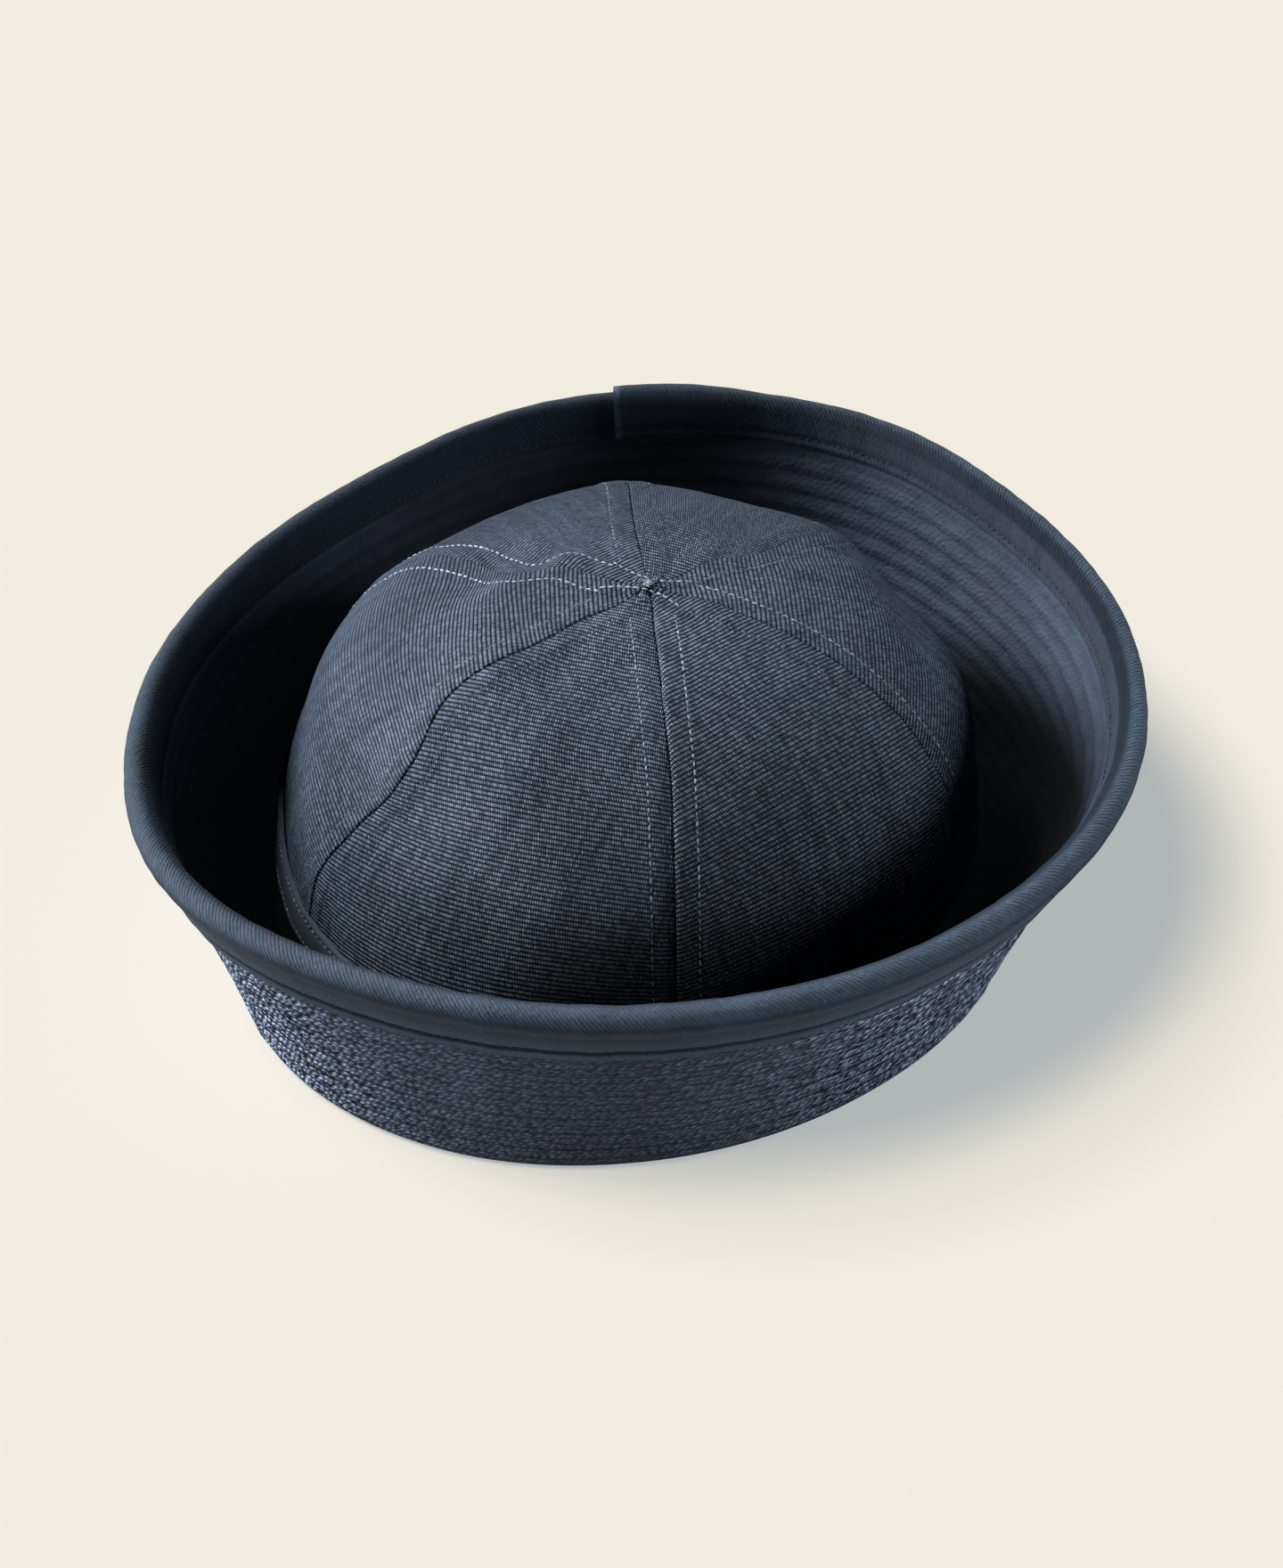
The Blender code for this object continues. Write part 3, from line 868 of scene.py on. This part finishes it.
def panel_layout(seam):
    """Azimuth, elevation, distance from the nearer seam and weave place of a panel's grid."""
    after = following(seam)
    middle = 0.5 * (seam.azimuth + after.azimuth)
    foot = crown_elevation(np.array([middle]), PANEL_BASE)[0]
    q = np.linspace(0.0, 1.0, 600)
    spine_el = TIP_ELEVATION + (foot - TIP_ELEVATION) * q
    spine_az = 0.5 * (seam_azimuth(seam, spine_el) + seam_azimuth(after, spine_el))
    spine = crown(spine_az, spine_el)
    run = np.concatenate([[0.0], np.cumsum(np.linalg.norm(np.diff(spine, axis=0), axis=1))])
    rows = int(run[-1] / PANEL_ROW)
    marks = np.linspace(0.0, run[-1], rows + 1)
    down = np.interp(marks, run, q)
    share = np.linspace(0.0, 1.0, 61)
    azimuth = np.zeros((rows + 1, len(EDGE_COLUMNS) * 2 + MIDDLE_COLUMNS - 1))
    elevation, near, side = azimuth.copy(), azimuth.copy(), azimuth.copy()
    base = np.full((rows + 1, 61), foot)
    for _ in range(3):
        el = TIP_ELEVATION + (base - TIP_ELEVATION) * down[:, None]
        start, end = seam_azimuth(seam, el), seam_azimuth(after, el)
        az = start + (end - start) * share
        base = crown_elevation(az, PANEL_BASE)
    points = crown(az, el)
    across = np.concatenate([np.zeros((rows + 1, 1)),
                             np.cumsum(np.linalg.norm(np.diff(points, axis=1), axis=2), 1)], 1)
    for j in range(rows + 1):
        width = across[j, -1] - SEEN_GAP
        edge = np.array(EDGE_COLUMNS) * min(1.0, width / 2 / FULL_WIDTH)
        inner = np.linspace(edge[-1], width - edge[-1], MIDDLE_COLUMNS + 1)[1:-1]
        place = np.concatenate([edge, inner, width - edge[::-1]])
        azimuth[j] = np.interp(place + SEEN_GAP / 2, across[j], az[j])
        elevation[j] = np.interp(place + SEEN_GAP / 2, across[j], el[j])
        near[j] = np.minimum(place, width - place)
        side[j] = place - width / 2
    curve = 1.0 / (DOME_RADIUS * np.tan(np.clip(marks / DOME_RADIUS, 0.1, 1.35)))
    rib = marks[:, None] - 0.9 * curve[:, None] * side ** 2 / 2
    weave = np.stack([side, rib], -1) * MM
    return azimuth, elevation, near, side, marks, weave


def panel_faces(seam):
    """Outer and inner faces of one crown panel and its weave map."""
    sew = sewing()
    azimuth, elevation, near, side, marks, weave = panel_layout(seam)
    plain, out = crown(azimuth, elevation), crown_normal(azimuth, elevation)
    half = near.max(axis=1)[:, None]
    open_seam = smooth(half, 4.5, 9.0)
    radius = np.where(side < 0, SEAM_LOOKS[seam.place].roll, PLAIN_ROLL)
    roll = radius - np.sqrt(np.maximum(radius ** 2 - np.maximum(radius - near, 0.0) ** 2, 0.0))
    press = 1 - smooth(near, sew.allowance - 0.9, sew.allowance + 0.5)
    groove = np.exp(-((near - sew.topstitch) / 0.5) ** 2)
    beat = np.cos(2 * math.pi * marks / sew.stitch)[:, None]
    pull = np.exp(-(np.maximum(near - 1.0, 0.0) / 6.0) ** 2)
    lift = PRESSED * press * open_seam - PULLED_IN * groove * open_seam * (0.85 + 0.3 * beat)
    lift = lift + 0.10 * pull * ripple(plain, 5.5, 7) * open_seam
    lift = lift + 0.30 * ripple(plain, 32.0, 11) + 0.12 * ripple(plain, 13.0, 12)
    start, end = SEAM_LOOKS[seam.place].rise / 2, -SEAM_LOOKS[following(seam).place].rise / 2
    lift = lift + np.where(side < 0, start, end) * (1 - smooth(near, 0.4, 4.5)) * open_seam
    lift = lift + folds(SMALL_FOLDS, azimuth, elevation)
    tip = np.exp(-(marks[:, None] / 4.5) ** 2)
    lift = lift - roll * (0.75 + 0.25 * open_seam) + tip * (1.2 + 1.0 * ripple(plain, 2.4, 5))
    outer = plain + out * lift[..., None]
    inner = plain - out * PANEL_CLOTH
    return outer, inner, near, side, marks, weave


class CAP_OT_crown_panels(bpy.types.Operator):
    """Cut the six crown panels from ribbed twill, with pressed and topstitched seams"""
    bl_idname = "cap.crown_panels"
    bl_label = "Crown panels"

    def execute(self, context):
        material = twill_material()
        for seam in SEAMS:
            outer, inner, _, _, _, weave = panel_faces(seam)
            name = "crown_twill_" + seam.panel
            mesh = grid_mesh(name, outer, weave)
            back = grid_mesh(name + "_back", inner, weave)
            with shaping(mesh) as bm:
                bm.from_mesh(back)
                bmesh.ops.bridge_loops(bm, edges=[e for e in bm.edges if e.is_boundary])
            bpy.data.meshes.remove(back)
            piece = finish_piece(mesh, material, "crown_panel_" + seam.panel)
        return {"FINISHED"}


def tip_path(start, end):
    """Line of the last seam's stitching, passing close by the crown's tip."""
    t = np.linspace(0.0, 1.0, 30)[:, None]
    tip = (DOME_CENTRE + APEX_LEAN)[:2]
    flat = (start * (1 - t) + end * t)[:, :2]
    flat = flat + (tip - (start + end)[:2] / 2) * 0.6 * np.sin(math.pi * t)
    away = flat - tip
    azimuth = np.degrees(np.arctan2(away[:, 1], away[:, 0]))
    elevation = 90.0 - np.degrees(np.hypot(away[:, 0], away[:, 1]) / DOME_HEIGHT)
    return crown(azimuth, elevation) + crown_normal(azimuth, elevation) * 1.3


def topstitch_lines(seam):
    """The lines to sew on a panel, one beside each seam: side, thread tone, places and normals."""
    inset = sewing().topstitch
    outer, _, near, side, _, _ = panel_faces(seam)
    normal = unit(np.cross(np.gradient(outer, axis=1), np.gradient(outer, axis=0)))
    normal *= np.sign((normal * (outer - DOME_CENTRE)).sum(-1, keepdims=True))
    tones = (SEAM_LOOKS[seam.place].after, SEAM_LOOKS[following(seam).place].before)
    halves = near.max(axis=1)
    open_rows = [j for j, half in enumerate(halves) if half >= inset + 0.6]
    for sign, tone in zip((-1, 1), tones):
        spots = [(j, sign * (halves[j] - inset)) for j in open_rows]
        line = np.array([between(spot, side[j], outer[j]) for j, spot in spots])
        out = np.array([between(spot, side[j], normal[j]) for j, spot in spots])
        yield sign, tone, line, out


class CAP_OT_topstitching(bpy.types.Operator):
    """Sew the topstitching on both sides of each crown seam"""
    bl_idname = "cap.topstitching"
    bl_label = "Topstitching"

    def execute(self, context):
        sew = sewing()
        rows, starts = [], {}
        for seam in SEAMS:
            for sign, tone, line, out in topstitch_lines(seam):
                starts[seam.panel, sign] = line[0]
                place, way, spots, lengths = steps_along(line, sew.stitch)
                rows.append((place, way, between(spots, lengths, out), np.full(len(spots), tone)))
        for start, end in ((("back_left", 1), ("right", -1)), (("left", -1), ("front_right", 1))):
            over = tip_path(starts[start], starts[end])
            place, way, spots, _ = steps_along(over, sew.stitch)
            up = np.broadcast_to(np.array((0.1, 0.0, 1.0)), place.shape)
            rows.append((place, way, up, np.full(len(spots), 1.1)))
        heap = np.arange(TIP_STITCHES)
        spin = heap * TIP_TURN
        rows.append((crown(spin, 90.0 - 0.06 * heap) + np.array((0.0, 0.0, 1.8)),
                     on_ring(spin + 60.0, 1.0, 0.0),
                     np.broadcast_to(np.array((0.0, 0.0, 1.0)), (TIP_STITCHES, 3)),
                     np.full(TIP_STITCHES, 0.7)))
        material = thread_material("topstitch_thread", cloth().thread)
        thread_object("topstitching", *map(np.concatenate, zip(*rows)), sew.stitch * 0.72,
                      sew.thickness, material, "crown_twill", 21)
        return {"FINISHED"}


# ---------------------------------------------------------------- rings

def ring_piece(name, sections, weave, material, node):
    """Skin closed sections, rows running round the cap, first and last alike."""
    piece = finish_piece(grid_mesh(name, sections, weave, closed=True), material, node)


def section_run(loop):
    """Mean distance of each row of a closed section from its first, in millimetres."""
    steps = np.linalg.norm(np.diff(loop, axis=1), axis=2).mean(0)
    return np.concatenate([[0], np.cumsum(steps)])


def band_face(azimuth, spread, part):
    """Place on the base band's outer face, part 0 at its lower edge and 1 at its upper."""
    height = BAND_BOTTOM + (BAND_TOP - BAND_BOTTOM) * part
    azimuth, height = np.broadcast_arrays(azimuth, height)
    el = crown_elevation(azimuth, height)
    return crown(azimuth, el) + crown_normal(azimuth, el) * np.asarray(spread)[..., None]


class CAP_OT_base_band(bpy.types.Operator):
    """Wrap the strip round the foot of the crown and sew both its edges"""
    bl_idname = "cap.base_band"
    bl_label = "Base band"

    def execute(self, context):
        sew = sewing()
        azimuth = np.linspace(0.0, 360.0, BAND_COLUMNS)[:, None]
        part = np.array([0.0, 0.015, 0.05, 0.10, 0.14, 0.18, 0.25, 0.36, 0.5, 0.64, 0.75, 0.82,
                         0.86, 0.90, 0.95, 0.985, 1.0])
        tall = BAND_TOP - BAND_BOTTOM
        edge = np.minimum(part, 1 - part) * tall
        puff = 0.45 * np.sqrt(np.clip(1 - (1 - np.minimum(edge, 0.8) / 0.8) ** 2, 0, 1))
        puff -= 0.32 * np.exp(-((edge - BAND_INSET) / 0.4) ** 2)
        outside = np.broadcast_to(GAP + BAND_CLOTH - 0.3 + puff, (len(azimuth), len(part)))
        plain = band_face(azimuth, np.zeros((1, 1)), part[None, :])
        outside = outside + 0.10 * ripple(plain, 6.0, 31)
        face = band_face(azimuth, outside, part[None, :])
        back = band_face(azimuth, np.full((1, 1), GAP), part[None, ::4][:, ::-1])
        loop = np.concatenate([face, back, face[:, :1]], axis=1)
        loop[-1] = loop[0]
        turn = np.broadcast_to(azimuth / 360.0, loop.shape[:2])
        rise = np.broadcast_to(section_run(loop) * MM, loop.shape[:2])
        weave = np.stack([turn * BAND_RUN * MM, rise], -1)
        ring_piece("base_band_twill", loop, weave, bpy.data.materials["crown_twill"],
                   "crown_base_band")
        az = np.linspace(0.0, 360.0, BAND_STITCHES, endpoint=False)
        lift = np.full(len(az), GAP + BAND_CLOTH - 0.12)
        rows = []
        for inset in (BAND_INSET / tall, 1 - BAND_INSET / tall):
            level = np.full(len(az), inset)
            place = band_face(az, lift, level)
            rows.append((place, band_face(az + 0.4, lift, level) - place,
                         crown_normal(az, crown_elevation(az, BAND_BOTTOM + tall * inset))))
        thread_object("base_band_stitching", *map(np.concatenate, zip(*rows)), 1.2,
                      sew.stitch * 0.74, sew.thickness * 1.15,
                      bpy.data.materials["topstitch_thread"], "crown_twill", 22)
        return {"FINISHED"}


def rows_puff(length, pitch):
    """Puff of the cloth between stitched rows, 0 on a row and 1 between two."""
    part = (length / pitch) % 1.0
    return np.clip(1 - (2 * part - 1) ** 2, 0, 1) ** 0.6


def brim_section(azimuth):
    """Rows of the brim's section: its seat, hidden leg, fold, outer wall, rim and way back inside.
    The second value is the row at the foot of the outer wall."""
    sew = sewing()
    fold, flare = around(BRIM_SECTIONS, 1, azimuth), around(BRIM_SECTIONS, 2, azimuth)
    foot = np.radians(90.0 - flare - BRIM_BOW)
    inner = FOLD_RADIUS - QUILT
    half = QUILT / 2
    straight = BRIM_LENGTH - half
    seat_el = crown_elevation(azimuth, LEG_TOP)
    knee_el = crown_elevation(azimuth, LEG_KNEE)
    seat, knee = crown(azimuth, seat_el), crown(azimuth, knee_el)
    out = crown_normal(azimuth, seat_el) * np.array((1.0, 1.0, 0.0))
    through = unit(out) * QUILT
    low_in = on_ring(azimuth, fold - FOLD_RADIUS, FOLD_RADIUS)
    low_out = on_ring(azimuth, fold - inner, FOLD_RADIUS)

    def fold_row(radius, t):
        turn = -math.pi / 2 + t * (foot + math.pi / 2)
        return on_ring(azimuth, fold + radius * np.sin(turn),
                       FOLD_RADIUS - radius * np.cos(turn))

    def puffed_row(length, inward, lift, share, size, seed):
        wander = 1 + share * ripple(brim_wall(azimuth, length), size, seed)
        return brim_wall(azimuth, length, inward + lift * wander)

    parts = [seat - through]
    parts += [(knee - through) * (1 - t) + low_in * t for t in np.linspace(0.0, 1.0, 8)[:-1]]
    parts += [fold_row(FOLD_RADIUS, t) for t in np.linspace(0.0, 1.0, 15)]
    wall_foot = len(parts) - 1
    pitch = sew.outside_pitch
    cover = BRIM_LENGTH - BINDING_OUTSIDE + 1.0
    strip_edge = BRIM_LENGTH - BINDING_INSIDE
    for length in np.arange(pitch / 6, cover, pitch / 6):
        lift = sew.puff_outside * rows_puff(length, pitch) * smooth(length, 0.0, 2.0)
        lift *= 1 - smooth(length, cover - 2.5, cover - 1.2)
        parts.append(puffed_row(length, 0.0, -lift, 0.35, 7.0, 41))
    parts += [brim_wall(azimuth, length) for length in np.linspace(cover + 1.5, straight, 6)]
    parts += [brim_wall(azimuth, *rim_turn(half, angle)) for angle in (45, 90, 135)]
    parts += [brim_wall(azimuth, length, QUILT)
              for length in np.linspace(straight, strip_edge + 1.2, 4)]
    pitch = sew.inside_pitch
    for length in np.arange(strip_edge, 0.0, -pitch / 7):
        lift = sew.puff_inside * rows_puff(length - 0.6, pitch) * smooth(length, 0.0, 6.0)
        lift *= 1 - smooth(length, strip_edge - 2.0, strip_edge - 0.6)
        parts.append(puffed_row(length, QUILT, lift, 0.30, 9.0, 42))
    parts += [fold_row(inner, t) for t in np.linspace(1.0, 0.0, 9)]
    parts += [low_out * (1 - t) + knee * t for t in np.linspace(0.0, 1.0, 10)[1:]]
    parts += [seat, seat - through]
    return np.stack([p.reshape(len(azimuth), 3) for p in parts], axis=1), wall_foot


class CAP_OT_brim(bpy.types.Operator):
    """Turn up the quilted brim with its stitched rows"""
    bl_idname = "cap.brim"
    bl_label = "Quilted brim"

    def execute(self, context):
        azimuth = np.linspace(0.0, 360.0, BRIM_COLUMNS)[:, None]
        loop, wall_foot = brim_section(azimuth)
        loop[-1] = loop[0]
        run = section_run(loop)
        weave = np.stack([np.broadcast_to(azimuth / 360.0, loop.shape[:2]),
                          np.broadcast_to((run - run[wall_foot]) * MM, loop.shape[:2])], -1)
        ring_piece("brim_quilt", loop, weave, quilting_material(), "brim")
        return {"FINISHED"}


def wall_rows(lengths, inward, count, seed):
    """Places, directions and outward normals of stitches round the brim, row by row."""
    rng = np.random.RandomState(seed)
    places, ways, outs = [], [], []
    for length in lengths:
        az = (np.arange(count) + rng.uniform(0, 1)) * 360.0 / count + rng.normal(0, 0.05, count)
        level = length + rng.normal(0, 0.10, count)
        place = brim_wall(az, level, inward)
        ahead = brim_wall(az + 0.3, level, inward) - place
        up = brim_wall(az, level + 0.5, inward) - place
        out = np.cross(ahead, up) * (1 if inward < QUILT / 2 else -1)
        places.append(place)
        ways.append(ahead)
        outs.append(out)
    return np.concatenate(places), np.concatenate(ways), np.concatenate(outs)


class CAP_OT_brim_stitching(bpy.types.Operator):
    """Sew the rows of the brim, outside and inside"""
    bl_idname = "cap.brim_stitching"
    bl_label = "Brim stitching"

    def execute(self, context):
        sew = sewing()
        material = thread_material("brim_thread", cloth().brim_thread)
        pitch = sew.outside_pitch
        rows = np.arange(pitch, BRIM_LENGTH - BINDING_OUTSIDE - 0.6, pitch)
        thread_object("brim_stitching_outside", *wall_rows(rows, -0.05, sew.around, 51), 0.8,
                      sew.stitch * 0.74, sew.thickness * 1.2, material, "brim_quilting", 52)
        pitch = sew.inside_pitch
        rows = np.arange(0.6 + pitch * 4, BRIM_LENGTH - BINDING_INSIDE - 0.6, pitch)
        thread_object("brim_stitching_inside", *wall_rows(rows, QUILT + 0.05, sew.around, 53), 0.6,
                      sew.stitch * 0.70, sew.thickness, material, "brim_quilting", 54)
        return {"FINISHED"}


def binding_spread(length_from_rim, inside):
    """Extra thickness of the edge strip: a soft roll at the rim and a sewn groove by its edge."""
    width, seam = ((BINDING_INSIDE, BINDING_GROOVE_INSIDE) if inside
                   else (BINDING_OUTSIDE, BINDING_GROOVE))
    left = width - length_from_rim
    roll = 0.55 * (1 - smooth(length_from_rim, 1.5, 6.0))
    groove = 0.55 * np.exp(-((left - seam) / 0.9) ** 2)
    hem = 0.28 * np.sqrt(np.clip(1 - (1 - np.minimum(left, 0.7) / 0.7) ** 2, 0, 1)) - 0.28
    return roll - groove + hem


def strip_section(azimuth, lift):
    """Rows of the edge strip's section: outside, over the rim, inside, and back under itself."""
    half = QUILT / 2
    plain = brim_wall(azimuth, BRIM_LENGTH)
    uneven = 0.10 * ripple(plain, 11.0, 61) + 0.05 * ripple(plain, 4.0, 62)
    near, far = GAP + lift, GAP + lift + BINDING_CLOTH

    def wall(distance, inward):
        return brim_wall(azimuth, BRIM_LENGTH - distance, inward)

    def outside(distance):
        return wall(distance, -(far + (binding_spread(distance, False) + uneven)))

    def inside(distance):
        return wall(distance, QUILT + far + (binding_spread(distance, True) + uneven))

    def over(angle, radius):
        return brim_wall(azimuth, *rim_turn(half + radius, angle))

    rim = far + (binding_spread(0.0, False) + uneven)
    faces = [outside(d) for d in np.linspace(BINDING_OUTSIDE, BINDING_OUTSIDE - 7.4, 21)]
    faces += [outside(d) for d in np.linspace(BINDING_OUTSIDE - 8.2, half, 12)]
    faces += [over(angle, rim) for angle in np.linspace(0, 180, 13)[1:-1]]
    faces += [inside(d) for d in np.linspace(half, BINDING_INSIDE - 3.4, 6)[:-1]]
    faces += [inside(d) for d in np.linspace(BINDING_INSIDE - 3.4, BINDING_INSIDE, 9)]
    faces += [wall(d, QUILT + near) for d in np.linspace(BINDING_INSIDE, half, 4)[:-1]]
    faces += [over(angle, near) for angle in np.linspace(180, 0, 7)]
    faces += [wall(d, -near) for d in np.linspace(half, BINDING_OUTSIDE, 5)[1:]]
    faces.append(faces[0])
    return np.stack([p.reshape(len(azimuth), 3) for p in faces], axis=1)


class CAP_OT_binding(bpy.types.Operator):
    """Fold the twill strip over the brim's edge, lap its ends at the back and sew it down"""
    bl_idname = "cap.binding"
    bl_label = "Edge strip"

    def execute(self, context):
        sew = sewing()
        run = np.linspace(0.0, 360.0 + BINDING_OVERLAP, BINDING_COLUMNS)[:, None]
        rise = np.clip((run - 360.0 + BINDING_RAMP) / BINDING_RAMP, 0.0, 1.0)
        lift = (BINDING_CLOTH + GAP) * rise * rise * (3 - 2 * rise)
        loop = strip_section(BINDING_START + run, lift)
        weave = np.stack([np.broadcast_to(run / 360.0, loop.shape[:2]),
                          np.broadcast_to(section_run(loop) * MM, loop.shape[:2])], -1)
        mesh = grid_mesh("edge_strip_twill", loop, weave, closed=True)
        piece = finish_piece(mesh, binding_material(), "brim_binding")
        # the edge stitching is real, but its thread is near black, sewn at a tone of 0.15, as
        # painted shade of the sewn groove
        material = thread_material("edge_thread", tinted(cloth().binding, 0.8))
        low = BRIM_LENGTH - BINDING_OUTSIDE + BINDING_GROOVE
        high = BRIM_LENGTH - BINDING_INSIDE + BINDING_GROOVE_INSIDE
        sunk = GAP + BINDING_CLOTH - 0.42
        out = wall_rows([low], -sunk, BINDING_STITCHES, 63)
        inn = wall_rows([high], QUILT + sunk, BINDING_STITCHES, 64)
        thread_object("edge_strip_stitching", *map(np.concatenate, zip(out, inn)), 0.15,
                      sew.stitch * 0.7, sew.thickness, material, "binding_twill", 65)
        return {"FINISHED"}


# ---------------------------------------------------------------- studio

# from the middle of the fold ring, as the sections
CAMERA_PLACE = np.array((-3.73, -750.5, 629.2))
CAMERA_RIGHT = np.array((0.99536, -0.06734, -0.06853))
CAMERA_UP = np.array((0.09547, 0.61313, 0.78422))
CAP_LIGHTS = [
    # azimuth, elevation, strength in red, green and blue
    (150.0, 36.0, 4.21, 4.13, 4.07),
    (150.0, 12.0, 3.54, 3.47, 3.42),
    (120.0, 50.0, 2.86, 2.80, 2.76),
    (0.0, 12.0, 2.37, 2.33, 2.29),
    (180.0, 12.0, 1.71, 1.68, 1.66),
    (240.0, 12.0, 0.96, 0.94, 0.93),
    (180.0, 50.0, 0.44, 0.44, 0.43),
    (150.0, 50.0, 0.22, 0.22, 0.22),
]
FLOOR_LIGHTS = [
    (225.0, 63.0, 2.562, 2.238, 1.772),
    (180.0, 63.0, 0.742, 0.710, 0.737),
]


def soft_light(name, azimuth, elevation, colour, lit):
    """A wide sun that lights one collection of objects."""
    strength = max(colour)
    light = bpy.data.lights.new(name, "SUN")
    light.energy, light.color = strength, [c / strength for c in colour]
    light.angle = math.radians(20.0)
    lamp = bpy.data.objects.new(name, light)
    az, el = math.radians(azimuth), math.radians(elevation)
    way = Vector((math.cos(el) * math.cos(az), math.cos(el) * math.sin(az), math.sin(el)))
    lamp.location = way
    lamp.rotation_euler = way.to_track_quat("Z", "Y").to_euler()
    lamp.light_linking.receiver_collection = lit
    bpy.context.scene.collection.objects.link(lamp)


def paper_floor(studio):
    """A wide sheet of paper just under the cap."""
    mesh = bpy.data.meshes.new("floor")
    with shaping(mesh) as bm:
        bmesh.ops.create_grid(bm, x_segments=1, y_segments=1, size=4.0)
        bmesh.ops.translate(bm, vec=(0, 0, CAD_BOX[0].z - 0.0001), verts=bm.verts)
    mesh.materials.append(floor_material(studio.floor, studio.glow))
    floor = bpy.data.objects.new("floor", mesh)
    bpy.context.scene.collection.objects.link(floor)
    return floor


def photo_camera(lens):
    """A camera that looks down on the cap from above its front."""
    camera = bpy.data.cameras.new("camera")
    camera.sensor_fit = "AUTO"
    camera.sensor_width = 36.0
    camera.lens = lens
    camera.clip_end = 20.0
    view = bpy.data.objects.new("camera", camera)
    right = unit(CAMERA_RIGHT)
    back = unit(np.cross(right, CAMERA_UP))
    turn = Matrix(np.stack([right, np.cross(back, right), back], 1).tolist())
    view.matrix_world = Matrix.Translation(Vector((CAMERA_PLACE - CENTRE) * MM)) @ turn.to_4x4()
    bpy.context.scene.collection.objects.link(view)
    return view


class CAP_OT_studio(bpy.types.Operator):
    """Set the cap on a pale floor under soft light, seen from above its front"""
    bl_idname = "cap.studio"
    bl_label = "Studio"

    def execute(self, context):
        scene = context.scene
        floor = paper_floor(scene.cap_studio)
        cap_lit, floor_lit = (bpy.data.collections.new(n) for n in ("cap_lit", "floor_lit"))
        floor_lit.objects.link(floor)
        for piece in scene.objects:
            if piece.type == "MESH" and piece is not floor:
                cap_lit.objects.link(piece)
        for lit, table in ((cap_lit, CAP_LIGHTS), (floor_lit, FLOOR_LIGHTS)):
            for k, (azimuth, elevation, *colour) in enumerate(table):
                soft_light("%s_%d" % (lit.name, k), azimuth, elevation, colour, lit)
        world = bpy.data.worlds.new("studio")
        world.use_nodes = True
        world.node_tree.nodes["Background"].inputs["Color"].default_value = (0.0, 0.0, 0.0, 1.0)
        scene.world = world
        scene.view_settings.view_transform = "Standard"
        scene.camera = photo_camera(scene.cap_studio.lens)
        return {"FINISHED"}


# ---------------------------------------------------------------- add-on

OPERATORS = (CAP_OT_crown_panels, CAP_OT_topstitching, CAP_OT_base_band, CAP_OT_brim,
             CAP_OT_brim_stitching, CAP_OT_binding, CAP_OT_studio)


class CAP_PT_panel(bpy.types.Panel):
    """Sizes, colours and steps of the cap"""
    bl_idname = "CAP_PT_panel"
    bl_label = "Sailor cap"
    bl_space_type = "VIEW_3D"
    bl_region_type = "UI"
    bl_category = "Sailor cap"

    def draw(self, context):
        for group in (context.scene.cap_cloth, context.scene.cap_sewing, context.scene.cap_studio):
            box = self.layout.box()
            for name in group.__annotations__:
                box.prop(group, name)
        for operator in OPERATORS:
            self.layout.operator(operator.bl_idname)


CLASSES = (CapCloth, CapSewing, CapStudio, *OPERATORS, CAP_PT_panel)


def register():
    for cls in CLASSES:
        bpy.utils.register_class(cls)
    bpy.types.Scene.cap_cloth = PointerProperty(type=CapCloth)
    bpy.types.Scene.cap_sewing = PointerProperty(type=CapSewing)
    bpy.types.Scene.cap_studio = PointerProperty(type=CapStudio)


def unregister():
    del bpy.types.Scene.cap_studio, bpy.types.Scene.cap_sewing, bpy.types.Scene.cap_cloth
    for cls in reversed(CLASSES):
        bpy.utils.unregister_class(cls)


def main():
    register()
    for operator in OPERATORS:
        getattr(bpy.ops.cap, operator.bl_idname.split(".")[1])()
    bpy.context.view_layer.update()


if __name__ == "__main__":
    main()
